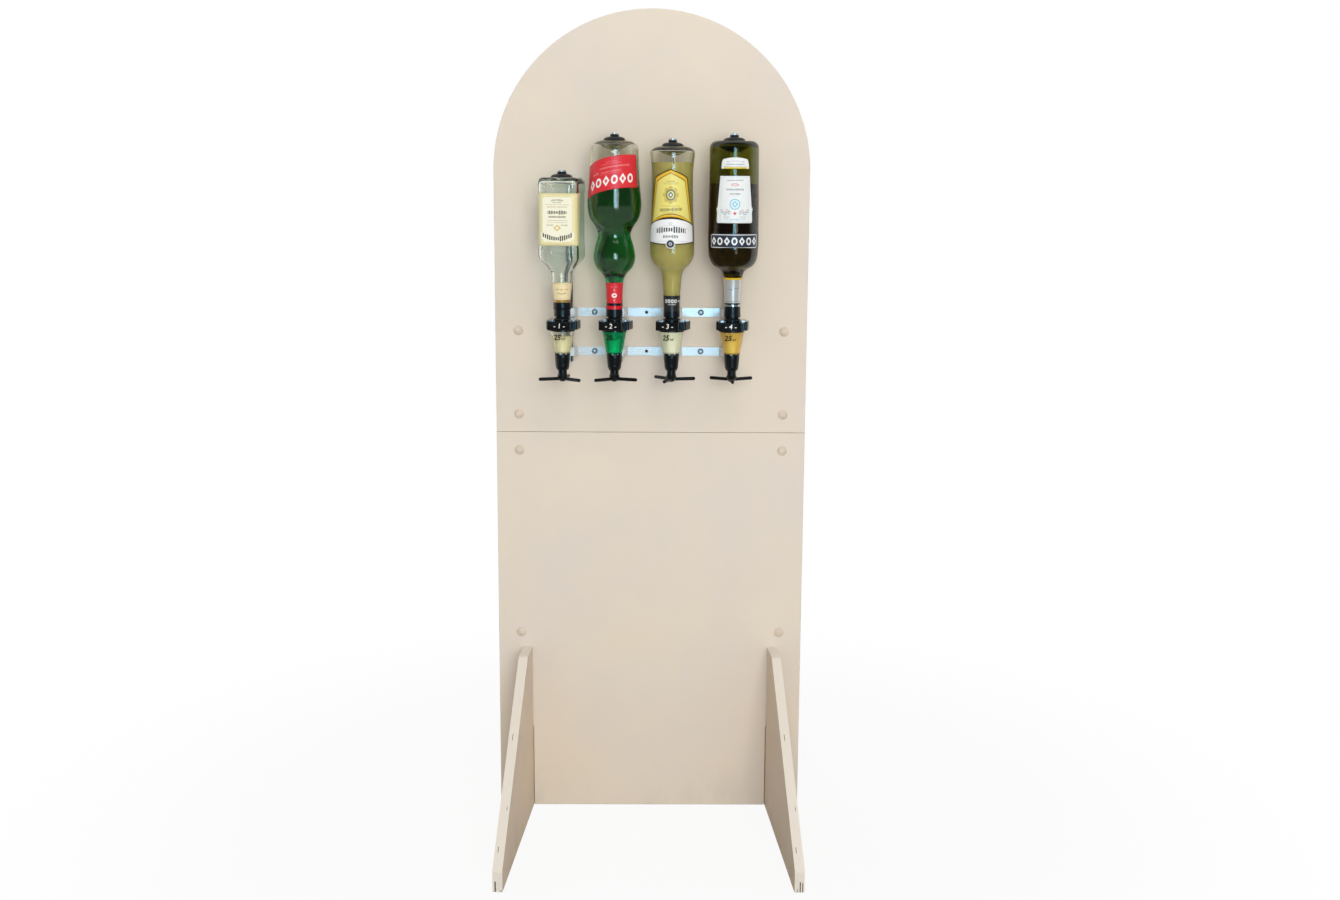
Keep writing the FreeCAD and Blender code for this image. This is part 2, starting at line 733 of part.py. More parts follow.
def smooth_outline(points):
    """Two tangent arcs between each two neighbouring points, so that the outline has no corner."""
    edges = []
    tangents = directions(points)
    for index in range(len(points) - 1):
        start, end = at_radius(points[index]), at_radius(points[index + 1])
        t0, t1 = tangents[index], tangents[index + 1]
        chord, both = end - start, t0 + t1
        spread = 2 * (1 - t0.dot(t1))
        if spread < same ** 2:
            reach_out = chord.dot(chord) / (4 * chord.dot(t0))
        else:
            root = math.sqrt(chord.dot(both) ** 2 + spread * chord.dot(chord))
            reach_out = (root - chord.dot(both)) / spread
        middle = (start + end + (t0 - t1) * reach_out) / 2
        joint_tangent = middle - start - t0 * reach_out
        edges.append(arc_along(start, t0, middle))
        edges.append(arc_along(middle, joint_tangent.normalize(), end))
    return edges


def round_bottle(kind):
    """Blown glass, mouth down: a smooth outside and the same line one wall further in."""
    outside = [(r, mouth_level + h) for r, h in round_bottles[kind]]
    inside = [(max(r - glass_wall, mouth_bore_radius), z) for r, z in outside]
    base = mouth_level + bottle_heights[kind]
    floor = base - glass_base
    side, inner_side = outside[-1][0], inside[-1][0]
    punt, bulge = bases[kind]["punt"], bases[kind]["bulge"]
    flat = side - bases[kind]["heel"]
    inner_flat = max(flat, bulge)
    inner_punt = floor - punt - punt_rise
    return turned([
        *chain([*neck_chain(), outside[0]]), *smooth_outline(outside),
        quarter_ellipse(outside[-1], (side, base), (flat, base)),
        *chain([(flat, base), (punt_radius, base)]), dome(punt_radius, base, base - punt),
        *chain([(0, base - punt), (0, inner_punt)]), dome(bulge, floor, inner_punt),
        *chain([(bulge, floor), (inner_flat, floor)]),
        quarter_ellipse((inner_flat, floor), (inner_side, floor), inside[-1]),
        *smooth_outline(inside[::-1]), *chain([inside[0], (mouth_bore_radius, mouth_level)])])


def rounded_square(half, level, radius):
    """Closed loop of four sides and four round corners, a circle where the radius is the half width."""
    flat = half - radius
    knee = flat + radius * math.sqrt(0.5)
    edges = []
    for quarter in range(4):
        points = [FreeCAD.Vector(half, -flat, level), FreeCAD.Vector(half, flat, level),
                  FreeCAD.Vector(knee, knee, level), FreeCAD.Vector(flat, half, level)]
        corner = [Part.makeLine(points[0], points[1]), Part.Arc(*points[1:]).toShape()]
        for edge in corner:
            edge.rotate(ORIGIN, UP, 90 * quarter)
            edges.append(edge)
    return Part.Wire(edges)


def square_form(inset, top):
    """The square bottle's outside, or one wall further in, without its lip."""
    def sections(rows):
        return [rounded_square(half - inset, mouth_level + h, radius - inset) for half, h, radius in rows]

    neck = Part.makeLoft(sections(square_neck), True, True)
    shoulder = Part.makeLoft(sections(square_shoulder), True, False)
    body = Part.makeLoft(sections(square_body), True, True)
    last_half, last_height, last_radius = square_body[-1]
    last = mouth_level + last_height
    end = Part.Face(rounded_square(last_half - inset, last, last_radius - inset)).extrude(UP * (top - last))
    end = filleted(end, heel_radius - inset, lambda edge: lies_at(edge, top))
    return neck.fuse([shoulder, body, end])


def square_bottle():
    base = mouth_level + bottle_heights["square"]
    lip = cylinder(lip_radius, mouth_level, mouth_level + lip_height)
    punt = turned([dome(punt_radius, base, base - square_punt_depth),
                   *chain([(0, base - square_punt_depth), (0, base + past), (punt_radius, base + past),
                           (punt_radius, base)])])
    bore = cylinder(mouth_bore_radius, mouth_level, mouth_level + lip_height + past)
    solid = square_form(0.0, base).fuse(lip)
    return solid.cut([square_form(glass_wall, base - glass_base), bore, punt])


# ---- spirit measure ----
def collar():
    """Black block under the fork: wings behind a narrower front, a skirt, and a neck in the slot."""
    f, w = collar_front_half_width, collar_half_width
    outline = [(-f, -collar_front), (f, -collar_front), (f, -collar_step), (w, -collar_step),
               (w, collar_rear), (-w, collar_rear), (-w, -collar_step), (-f, -collar_step)]
    face = polygon_face([FreeCAD.Vector(x, y, collar_foot) for x, y in outline])
    body = face.extrude(UP * collar_height)

    def outer_corner(edge):
        point = edge.Vertexes[0]
        return stands_up(edge) and (abs(point.X) > w - same or point.Y < -collar_front + same)

    body = filleted(body, collar_corner_radius, outer_corner)
    body = chamfered(body, collar_chamfer,
                     lambda edge: lies_at(edge, fork_level) or lies_at(edge, collar_foot))
    skirt = cylinder(collar_skirt_radius, collar_foot - collar_skirt_height, collar_foot + past)
    neck = cylinder(collar_neck_radius, fork_level - past, fork_top)
    socket = cylinder(chamber_radius + chamber_clearance, collar_foot - collar_skirt_height, chamber_top)
    flow = cylinder(flow_radius, chamber_top, fork_top)
    return body.fuse([skirt, neck]).cut([socket, flow])


def chamber():
    """Clear measuring cup: a straight rim in the collar, a long taper and a spigot in the body."""
    spigot_foot = chamber_taper_foot - chamber_spigot_length
    outer = [(chamber_radius, chamber_top), (chamber_radius, chamber_taper_top),
             (chamber_foot_radius, chamber_taper_foot), (chamber_spigot_radius, chamber_taper_foot),
             (chamber_spigot_radius, spigot_foot)]
    inner = [(chamber_spigot_radius - chamber_wall, spigot_foot),
             (chamber_spigot_radius - chamber_wall, chamber_taper_foot),
             (chamber_foot_radius - chamber_wall, chamber_taper_foot + chamber_wall),
             (chamber_radius - chamber_wall, chamber_taper_top), (chamber_radius - chamber_wall, chamber_top)]
    return turned_outline([*outer, *inner])


def spout_body():
    """Castellated, fluted lower body with the outlet seat and the guide for the trigger's sleeve."""
    rim, foot_level = chamber_taper_foot, body_foot_level
    rim_foot = rim - body_rim_height
    floor_top = body_floor_level + body_floor_thick
    spigot_foot = chamber_taper_foot - chamber_spigot_length - body_spigot_gap
    guide = sleeve_radius + sleeve_clearance
    socket = chamber_spigot_radius + chamber_clearance
    cavity = chamber_spigot_radius - chamber_wall
    waist = (body_waist_radius, foot_level + body_waist_rise)
    bow = (body_foot_bow[0], foot_level + body_foot_bow[1])
    shell = turned([
        *chain([(socket, rim), (body_rim_radius, rim), (body_rim_radius, rim_foot), waist]),
        arc(waist, bow, (body_foot_radius, foot_level)),
        *chain([(body_foot_radius, foot_level), (guide, foot_level), (guide, body_floor_level),
                (flow_radius, body_floor_level), (flow_radius, floor_top), (cavity, floor_top),
                (cavity, spigot_foot), (socket, spigot_foot), (socket, rim)])])
    taper = (body_rim_radius - body_waist_radius) / (rim_foot - waist[1])
    start, end = [FreeCAD.Vector(0, -body_waist_radius - taper * rise - flute_radius + flute_depth,
                                 waist[1] + rise)
                  for rise in (rim_foot - flute_top - waist[1], flute_foot)]
    flute = Part.makeCylinder(flute_radius, (end - start).Length, start, end - start)
    flute = flute.fuse([Part.makeSphere(flute_radius, start), Part.makeSphere(flute_radius, end)])
    notch = block(-castle_width / 2, castle_width / 2, -body_rim_radius - past, 0,
                  rim - castle_depth, rim + past)
    notch = notch.cut(cylinder(socket, rim - castle_depth - past, rim + 2 * past))
    cutters = []
    for index in range(castle_count):
        for form, turn in ((notch, 0.0), (flute, 0.5)):
            cutter = form.copy()
            cutter.rotate(ORIGIN, UP, (index + turn) * 360 / castle_count)
            cutters.append(cutter)
    return shell.cut(cutters)


def valve_stem():
    """Rod with the outlet seal at rest on its seat and the inlet seal one travel below the inlet."""
    outlet = body_floor_level + body_floor_thick + seal_gap
    inlet = chamber_top - valve_travel - seal_gap
    collar_level = pocket_floor + hub_play
    rivet_top = hub_foot_level - hub_play
    float_foot = outlet + seal_thick
    float_top = float_foot + float_length
    r = stem_radius
    return turned_outline([
        (0, rivet_top - stem_rivet_thick), (stem_rivet_radius, rivet_top - stem_rivet_thick),
        (stem_rivet_radius, rivet_top), (r, rivet_top), (r, collar_level), (stem_collar_radius, collar_level),
        (stem_collar_radius, collar_level + stem_collar_thick), (r, collar_level + stem_collar_thick),
        (r, outlet), (seal_radius, outlet), (seal_radius, float_foot), (float_foot_radius, float_foot),
        (float_top_radius, float_top - float_chamfer), (float_top_radius - float_chamfer, float_top),
        (r, float_top), (r, inlet - seal_thick), (seal_radius, inlet - seal_thick), (seal_radius, inlet),
        (0, inlet)])


def trigger():
    """Push-up star: a sleeve that slides in the body, a swollen hub, and round fingers."""
    bore = stem_radius + hub_clearance
    groove = sleeve_radius - sleeve_groove_depth
    groove_top = sleeve_groove_level + sleeve_groove_height
    hub = turned_outline([
        (bore, hub_foot_level), (hub_foot_radius, hub_foot_level), (hub_waist_radius, hub_waist_level),
        (hub_swell_radius, hub_swell_level), (sleeve_radius, sleeve_foot),
        (sleeve_radius, sleeve_groove_level), (groove, sleeve_groove_level + sleeve_groove_depth),
        (groove, groove_top - sleeve_groove_depth), (sleeve_radius, groove_top),
        (sleeve_radius, sleeve_top), (pocket_radius, sleeve_top), (pocket_radius, pocket_floor),
        (bore, pocket_floor)])
    tip = finger_length - finger_radius
    root = FreeCAD.Vector(0, -stem_radius - finger_root_gap, finger_level)
    fingers = []
    for index in range(finger_count):
        finger = Part.makeCylinder(finger_radius, tip + root.y, root, -BACK)
        end = Part.makeSphere(finger_radius, FreeCAD.Vector(0, -tip, finger_level))
        for solid in (finger, end):
            solid.rotate(ORIGIN, UP, index * 360 / finger_count)
        fingers += [finger, end]
    return hub.fuse(fingers).cut(cylinder(bore, hub_foot_level - past, pocket_floor))


# ---- springs ----
def coil_spring(mean_radius, wire, low, high, turns):
    """Square-wire helix between two levels."""
    half = wire / 2
    height = high - low - wire
    helix = Part.Wire(Part.makeHelix(height / turns, height, mean_radius))
    section = Part.makePolygon([FreeCAD.Vector(mean_radius + x, 0, z) for x, z in
                                ((-half, -half), (half, -half), (half, half), (-half, half), (-half, -half))])
    spring = helix.makePipeShell([section], True, True)
    spring.translate(UP * (low + half))
    return spring


def valve_spring():
    low = pocket_floor + hub_play + stem_collar_thick + spring_gap
    middle = (stem_radius + pocket_radius) / 2
    wire = stem_radius * valve_spring_fill
    return coil_spring(middle, wire, low, body_floor_level - spring_gap, valve_spring_turns)


def grip_spring():
    middle = (rod_radius + tube_bore_radius) / 2
    wire = (tube_bore_radius - rod_radius) * spring_fill
    return coil_spring(middle, wire, piston_top + spring_gap, tube_top - bush_depth - spring_gap,
                       grip_spring_turns)


# ---- the stand, node by node ----
def station_nodes(station):
    """One station's nodes in place."""
    number = station + 1
    place = stations[station]
    kind = place["bottle"]
    base_level = mouth_level + bottle_heights[kind]
    glass = square_bottle() if kind == "square" else round_bottle(kind)
    x, y = bottle_axis(station)
    swing = place["swing"]
    return {
        f"grip_spring_{number}": placed(grip_spring(), spine_x[station], spine_y, 0),
        f"grip_rod_{number}": placed(grip_rod(base_level), x, y, swing),
        f"rubber_bell_{number}": placed(rubber_bell(base_level), x, y, swing),
        f"bracket_fork_{number}": placed(bracket_fork(), x, y, swing),
        f"bottle_{number}": placed(glass, x, y, place["bottle_turn"]),
        f"collar_{number}": placed(collar(), x, y, place["measure_turn"]),
        f"chamber_{number}": placed(chamber(), x, y, place["measure_turn"]),
        f"spout_body_{number}": placed(spout_body(), x, y, place["measure_turn"]),
        f"valve_stem_{number}": placed(valve_stem(), x, y, place["measure_turn"]),
        f"valve_spring_{number}": placed(valve_spring(), x, y, 0),
        f"trigger_{number}": placed(trigger(), x, y, place["trigger_turn"]),
    }


def build_nodes():
    nodes = {
        "upper_panel": upper_panel(), "lower_panel": lower_panel(),
        "left_foot": foot(-1), "right_foot": foot(1),
        "left_batten": batten(-1), "right_batten": batten(1),
        "coach_bolts": Part.makeCompound([coach_bolt(x, z) for x, z in bolt_places()]),
        "washers": Part.makeCompound([washer(x, z) for x, z in bolt_places()]),
        "wing_nuts": Part.makeCompound([wing_nut(x, z, turn)
                                        for (x, z), turn in zip(bolt_places(), wing_turns)]),
        "lower_rail": rail(rail_levels[0]), "upper_rail": rail(rail_levels[1]),
        "rail_screws": Part.makeCompound([rail_screw(x, z) for x, z in screw_places()]),
        "spine_tubes": Part.makeCompound([placed(spine_tube(), x, spine_y, 0) for x in spine_x]),
        "tube_bushes": Part.makeCompound([placed(tube_bush(), x, spine_y, 0) for x in spine_x]),
        "bungs": Part.makeCompound([placed(bung(), *bottle_axis(station), 0)
                                    for station in range(len(stations))]),
    }
    for station in range(len(stations)):
        nodes.update(station_nodes(station))
    return nodes


os.makedirs("parts", exist_ok=True)
for name, shape in build_nodes().items():
    assert shape.isValid(), name
    print(f"{name}: {len(shape.Solids)} solid(s), {shape.Volume / 1000:.1f} cm3")
    shape.exportStep(f"parts/{name}.step")
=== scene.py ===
"""A bar measure stand: the finish of its boards, metalwork, glass, drinks, labels and measures."""
import bmesh
import bpy
import json
import math
from functools import partial
from mathutils import Matrix, Vector
from mathutils.bvhtree import BVHTree


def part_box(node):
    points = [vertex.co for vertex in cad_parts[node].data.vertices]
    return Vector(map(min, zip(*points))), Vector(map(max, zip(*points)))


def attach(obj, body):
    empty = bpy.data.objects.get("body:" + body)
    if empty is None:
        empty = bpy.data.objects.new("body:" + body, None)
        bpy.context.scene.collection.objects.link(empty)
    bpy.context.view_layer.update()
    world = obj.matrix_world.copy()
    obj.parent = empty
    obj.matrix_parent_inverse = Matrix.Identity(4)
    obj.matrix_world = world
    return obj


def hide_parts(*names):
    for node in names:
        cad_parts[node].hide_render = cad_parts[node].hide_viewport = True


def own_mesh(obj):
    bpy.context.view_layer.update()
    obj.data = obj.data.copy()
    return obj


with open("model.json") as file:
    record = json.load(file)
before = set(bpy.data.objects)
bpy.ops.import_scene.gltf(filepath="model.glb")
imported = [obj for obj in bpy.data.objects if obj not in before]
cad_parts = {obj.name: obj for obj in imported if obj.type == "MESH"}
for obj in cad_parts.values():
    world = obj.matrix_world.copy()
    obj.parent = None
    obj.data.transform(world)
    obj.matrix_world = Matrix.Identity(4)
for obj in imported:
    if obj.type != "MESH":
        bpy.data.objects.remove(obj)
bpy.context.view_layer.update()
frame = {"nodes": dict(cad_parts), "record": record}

# ---- sizes, in metres, with heights on a bottle counted up from its mouth ----
MM = 0.001
CM = 0.01
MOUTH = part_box("bottle_1")[0].z
BOARD_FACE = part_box("upper_panel")[0].y
BOARD_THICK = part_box("upper_panel")[1].y - BOARD_FACE
BOARD_BACK = BOARD_FACE + BOARD_THICK
SPARE_HOLES = next(mount for mount in frame["record"]["mounts"] if mount["name"] == "spare_rail_holes")
STATIONS = (1, 2, 3, 4)
MEASURE_TURN = {1: -10.0, 2: -14.0, 3: -17.5, 4: -8.5}      # degrees about the bottle's axis
SQUARE_BOTTLE_TURN = -10.0
FOOT_SPLAY = 3.8
ROUND = 96                                                  # facets round a turned piece
WAYS = [2 * math.pi * step / ROUND for step in range(ROUND)]

DRINK_LEVEL = {1: 0.046, 2: 0.2405, 3: 0.285, 4: 0.2464}    # surface of the drink above the mouth
BUNG_TOP = 0.0222
STIPPLE_RADIUS = {1: 0.0256, 4: 0.0290}                     # on the bases that have a flat rim
MEASURE_LEVEL = {1: 0.9622, 2: 0.9738, 3: 0.9738, 4: 0.9738}
MEASURE_FOOT = 0.9285                                       # the drink is seen down to the body's rim
VOLUME_MARK_LEVEL = 0.9555
COLLAR_NUMBER_LEVEL = 0.9782
COLLAR_FRONT = 27.0 * MM                                    # from the bottle's axis
STEM_RIVET_TOP = 0.8778
SPRINGS = {"grip": 65 / 110, "valve": 10.7 / 18.7}          # share of its length that a pressed spring keeps
LIP_FOOT = 0.4                                              # in millimetres, as the sleeves are
PAPER = 0.14 * MM
PAPER_LAYER = 1.2 * PAPER
GLASS_GAP = 0.10 * MM


def tint(red, green, blue):
    """Linear colour of an 8-bit one."""
    def one(value):
        share = value / 255
        return share / 12.92 if share <= 0.04045 else ((share + 0.055) / 1.055) ** 2.4
    return one(red), one(green), one(blue), 1.0


def axis_of(station):
    """X and Y of a station's bottle axis."""
    low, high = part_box(f"chamber_{station}")
    return (low.x + high.x) / 2, (low.y + high.y) / 2


# ---- node trees ----
class Wiring:
    """Adds nodes to one tree and joins them."""

    def __init__(self, tree):
        self.tree = tree

    def add(self, kind, inputs=None, outlet=0, **settings):
        """Adds a node, feeds its inputs and gives one of its outlets."""
        node = self.tree.nodes.new(kind if kind.startswith("Geometry") else "ShaderNode" + kind)
        for name, value in settings.items():
            setattr(node, name, value)
        for socket, value in (inputs or {}).items():
            self.feed(node.inputs[socket], value)
        return node.outputs[outlet]

    def feed(self, socket, value):
        if isinstance(value, bpy.types.NodeSocket):
            self.tree.links.new(value, socket)
        else:
            socket.default_value = value

    def work(self, operation, *values, clamp=False):
        return self.add("Math", dict(enumerate(values)), operation=operation, use_clamp=clamp)

    def plus(self, first, second):
        return self.work("ADD", first, second)

    def minus(self, first, second, clamp=False):
        return self.work("SUBTRACT", first, second, clamp=clamp)

    def times(self, first, *others):
        for other in others:
            first = self.work("MULTIPLY", first, other)
        return first

    def over(self, first, second):
        return self.work("DIVIDE", first, second)

    def size(self, value):
        return self.work("ABSOLUTE", value)

    def mix(self, share, under, over):
        return self.add("Mix", {0: share, 6: under, 7: over}, outlet=2, data_type="RGBA", blend_type="MIX")

    def blend(self, share, under, over):
        return self.add("Mix", {0: share, 2: under, 3: over}, data_type="FLOAT")

    def ramp(self, value, low, high, to_low=0.0, to_high=1.0):
        ends = {0: value, 1: low, 2: high, 3: to_low, 4: to_high}
        return self.add("MapRange", ends, interpolation_type="SMOOTHSTEP")

    def parts(self, vector):
        return list(self.add("SeparateXYZ", {0: vector}).node.outputs)

    def vector(self, x, y, z=0.0):
        return self.add("CombineXYZ", {0: x, 1: y, 2: z})

    def length(self, x, y):
        return self.add("VectorMath", {0: self.vector(x, y)}, outlet=1, operation="LENGTH")

    def noise(self, vector, scale, detail=2.0, roughness=0.5):
        inputs = {"Vector": vector, "Scale": scale, "Detail": detail, "Roughness": roughness}
        return self.add("TexNoise", inputs)

    def group(self, tree, inputs):
        return self.add("Group", inputs, node_tree=tree).node.outputs


def node_tree(name, inlets, outlets, kind="Shader", gives="Float"):
    """An empty node group. inlets gives a number to start from, or the kind of socket, by name."""
    tree = bpy.data.node_groups.new(name, kind + "NodeTree")
    for label, wanted in inlets.items():
        number = isinstance(wanted, float)
        socket_kind = "NodeSocket" + ("Float" if number else wanted)
        socket = tree.interface.new_socket(name=label, in_out="INPUT", socket_type=socket_kind)
        if number:
            socket.default_value = wanted
    for label in outlets:
        tree.interface.new_socket(name=label, in_out="OUTPUT", socket_type="NodeSocket" + gives)
    inlet, outlet = [tree.nodes.new("NodeGroup" + end) for end in ("Input", "Output")]
    return tree, Wiring(tree), inlet.outputs, outlet.inputs


def rolled_paint_effect():
    """Cloudy tone and the fine stipple that a paint roller leaves."""
    inlets = {"Place": "Vector", "Cloud Size": 0.25, "Stipple Size": 0.0011}
    tree, w, inlet, outlet = node_tree("Rolled Paint", inlets, ["Cloud", "Stipple"])
    coarse = w.noise(inlet["Place"], w.over(1.0, inlet["Cloud Size"]), 3.0, 0.55)
    w.feed(outlet["Cloud"], w.ramp(coarse, 0.3, 0.7))
    w.feed(outlet["Stipple"], w.noise(inlet["Place"], w.over(1.0, inlet["Stipple Size"]), 1.0))
    return tree


def handling_effect():
    """Smudges in the gloss and hair scratches from use."""
    inlets = {"Place": "Vector", "Smudge Size": 0.02}
    tree, w, inlet, outlet = node_tree("Handling", inlets, ["Smudge", "Scratch"])
    scale = w.over(1.0, inlet["Smudge Size"])
    w.feed(outlet["Smudge"], w.ramp(w.noise(inlet["Place"], scale, 4.0, 0.6), 0.42, 0.72))
    hairs = {"Rotation": (0.4, 0.9, 0.3), "Scale": (1.0, 0.05, 0.6)}
    drawn_out = w.add("Mapping", {"Vector": inlet["Place"], **hairs})
    streak = w.noise(drawn_out, w.times(scale, 22.0), 2.0, 0.7)
    w.feed(outlet["Scratch"], w.ramp(streak, 0.60, 0.66))
    return tree


def ply_effect():
    """Layers of plywood seen on a sawn edge under thin paint, with gaps in the core, which are coloured dark
    as painted shade.
    """
    inlets = {"Across": "Float", "Along": "Float", "Thickness": 0.018}
    tree, w, inlet, outlet = node_tree("Ply Edge", inlets, ["Grain", "Glue Line", "Gap"])
    layers = 13.0
    step = w.times(w.over(inlet["Across"], inlet["Thickness"]), layers)
    layer = w.work("FLOOR", step)
    inside = w.size(w.minus(w.work("FRACT", step), 0.5))
    fibres = w.noise(w.vector(w.times(step, 2.2), w.times(inlet["Along"], 38.0), layer), 1.0, 3.0, 0.65)
    odd = w.work("PINGPONG", layer, 1.0)
    w.feed(outlet["Grain"], w.times(fibres, w.plus(w.times(odd, 0.55), 0.45)))
    w.feed(outlet["Glue Line"], w.ramp(inside, 0.36, 0.49))
    patch = w.noise(w.vector(w.times(layer, 5.37), w.times(inlet["Along"], 17.0)), 1.0, 1.0)
    w.feed(outlet["Gap"], w.times(w.ramp(patch, 0.735, 0.76), w.ramp(inside, 0.46, 0.30)))
    return tree


def print_effects():
    """The shapes that labels are printed from. Each gives a mask from a place on the paper in centimetres."""
    soft_edge = 0.012

    def shape(name, rule, **extra):
        inlets = {"Paper": "Vector", "X": 0.0, "Y": 0.0, "Half Width": 1.0, "Half Height": 1.0, "Slope": 0.0,
                  "Bow": 0.0, **extra}
        tree, w, inlet, outlet = node_tree(name, inlets, ["Mask"])
        x, y, _ = w.parts(inlet["Paper"])
        x, y = w.minus(x, inlet["X"]), w.minus(y, inlet["Y"])
        rise = w.times(x, w.plus(inlet["Slope"], w.times(inlet["Bow"], x)))
        w.feed(outlet["Mask"], rule(w, inlet, x, w.minus(y, rise)))
        return tree

    def inked(w, distance):
        return w.ramp(distance, soft_edge, -soft_edge)

    def panel(w, inlet, x, y):
        corner = inlet["Corner"]
        out_x = w.plus(w.minus(w.size(x), inlet["Half Width"]), corner)
        out_y = w.plus(w.minus(w.size(y), inlet["Half Height"]), corner)
        outside = w.length(w.work("MAXIMUM", out_x, 0.0), w.work("MAXIMUM", out_y, 0.0))
        within = w.work("MINIMUM", w.work("MAXIMUM", out_x, out_y), 0.0)
        distance = w.minus(w.plus(outside, within), corner)
        line = w.minus(w.size(distance), w.times(inlet["Line"], 0.5))
        hollow = w.work("GREATER_THAN", inlet["Line"], 0.0)
        return inked(w, w.blend(hollow, distance, line))

    def disc(w, inlet, x, y):
        away = w.length(w.over(x, inlet["Half Width"]), w.over(y, inlet["Half Height"]))
        return inked(w, w.times(w.minus(away, 1.0), inlet["Half Width"]))

    def lozenge(w, inlet, x, y):
        away = w.plus(w.over(w.size(x), inlet["Half Width"]), w.over(w.size(y), inlet["Half Height"]))
        return inked(w, w.times(w.minus(away, 1.0), w.times(inlet["Half Width"], 0.7)))

    def strokes(w, inlet, x, y):
        """A row of upright strokes of uneven height inside a box."""
        pitch = inlet["Pitch"]
        number = w.work("FLOOR", w.over(x, pitch))
        place = w.size(w.minus(w.work("FRACT", w.over(x, pitch)), 0.5))
        tall = w.work("FRACT", w.times(w.work("SINE", w.times(number, 12.99)), 43.7))
        reach = w.times(inlet["Half Height"], w.plus(w.times(tall, 0.45), 0.55))
        high = inked(w, w.minus(w.size(y), reach))
        wide = inked(w, w.minus(w.size(x), inlet["Half Width"]))
        thin = inked(w, w.times(w.minus(place, inlet["Weight"]), pitch))
        return w.times(high, wide, thin)

    return {"panel": shape("Printed Panel", panel, Corner=0.0, Line=0.0), "disc": shape("Printed Disc", disc),
            "lozenge": shape("Printed Lozenge", lozenge),
            "strokes": shape("Printed Strokes", strokes, Pitch=0.2, Weight=0.25)}


def stud_ring_tree():
    """Small rounded studs evenly round a ring, made real and given one material."""
    inlets = {"Count": "Int", "Ring Radius": "Float", "Level": "Float", "Stud Size": "Vector",
              "Material": "Material"}
    tree, w, inlet, outlet = node_tree("Stud Ring", inlets, ["Geometry"], "Geometry", "Geometry")
    ring = w.add("GeometryNodeMeshCircle", {"Vertices": inlet["Count"], "Radius": inlet["Ring Radius"]})
    lift = w.vector(0.0, 0.0, inlet["Level"])
    lifted = w.add("GeometryNodeTransform", {"Geometry": ring, "Translation": lift})
    stud = w.add("GeometryNodeMeshIcoSphere", {"Radius": 1.0, "Subdivisions": 2})
    way = w.times(w.add("GeometryNodeInputIndex"), w.over(2 * math.pi, inlet["Count"]))
    turn = w.vector(0.0, 0.0, way)
    spread = {"Points": lifted, "Instance": stud, "Rotation": turn, "Scale": inlet["Stud Size"]}
    real = w.add("GeometryNodeRealizeInstances", {0: w.add("GeometryNodeInstanceOnPoints", spread)})
    coated = w.add("GeometryNodeSetMaterial", {"Geometry": real, "Material": inlet["Material"]})
    w.feed(outlet["Geometry"], coated)
    return tree


ROLLED_PAINT = rolled_paint_effect()
HANDLING = handling_effect()
PLY_EDGE = ply_effect()
PRINTS = print_effects()
STUD_RING = stud_ring_tree()


# ---- materials ----
class Finish:
    """A material with one Principled shader."""

    def __init__(self, name, colour, roughness=0.5, metallic=0.0, **plain):
        self.material = bpy.data.materials.new(name)
        self.material.use_nodes = True
        self.w = Wiring(self.material.node_tree)
        self.shader = self.material.node_tree.nodes["Principled BSDF"]
        self.output = self.material.node_tree.nodes["Material Output"].inputs
        self.base = tint(*colour)
        self.set("Base Color", self.base)
        self.set("Roughness", roughness)
        self.set("Metallic", metallic)
        for socket, value in plain.items():
            self.set(socket.replace("_", " "), value)
        self.place = self.w.add("TexCoord", outlet=3)

    def set(self, socket, value):
        self.w.feed(self.shader.inputs[socket], value)

    def bump(self, height, distance, strength=1.0):
        self.set("Normal", self.w.add("Bump", {"Height": height, "Distance": distance, "Strength": strength}))

    def handled(self, smudge_size, gloss, wear=0.0):
        """Uneven gloss between two values, hair scratches, and paler places where it is worn."""
        marks = self.w.group(HANDLING, {"Place": self.place, "Smudge Size": smudge_size})
        self.set("Roughness", self.w.ramp(marks["Smudge"], 0.0, 1.0, *gloss))
        if wear:
            worn = tuple(min(1.0, channel + wear) for channel in self.base[:3]) + (1.0,)
            self.set("Base Color", self.w.mix(marks["Smudge"], self.base, worn))
        self.bump(marks["Scratch"], 0.02 * MM, 0.6)
        return self


def see_through(name, colour, passed, absorption=None, density=0.0, haze=0.0, bend=1.5, **plain):
    """Glass or drink that takes light out with depth. passed is what it leaves of the lamps' light on what
    is behind it."""
    finish = Finish(name, colour, **{"roughness": 0.0, **plain}, IOR=bend, Transmission_Weight=1.0 - haze)
    w = finish.w
    if absorption:
        depth = {"Color": (*absorption, 1.0), "Density": density}
        w.feed(finish.output["Volume"], w.add("VolumeAbsorption", depth))
    to_lamp = w.add("LightPath", outlet="Is Shadow Ray")
    passing = w.add("BsdfTransparent", {"Color": tint(*passed)})
    shown = w.add("MixShader", {0: to_lamp, 1: finish.shader.outputs[0], 2: passing})
    w.feed(finish.output["Surface"], shown)
    return finish.material


def foot_middle(foot, turn):
    """Where a splayed foot's middle plane crosses X once the foot is turned straight."""
    places = [math.cos(turn) * v.co.x - math.sin(turn) * v.co.y for v in frame["nodes"][foot].data.vertices]
    return (min(places) + max(places)) / 2


def spare_holes(w, x, y, z):
    """Where the open screw holes show bare wood, painted dark with the shade inside them. It ends short of the
    board's back.
    """
    hole_x, _, middle = SPARE_HOLES["pos_m"]
    half_pitch = SPARE_HOLES["dims"]["spacing_y_mm"] * MM / 2
    up = w.minus(w.size(w.minus(z, middle)), half_pitch)
    off_axis = w.length(w.minus(x, hole_x), up)
    behind_face = w.ramp(y, BOARD_FACE, BOARD_FACE + 0.4 * MM)
    before_back = w.ramp(y, BOARD_BACK - 0.5 * MM, BOARD_BACK - MM)
    return w.times(w.ramp(off_axis, 3.6 * MM, 3.3 * MM), w.times(behind_face, before_back))


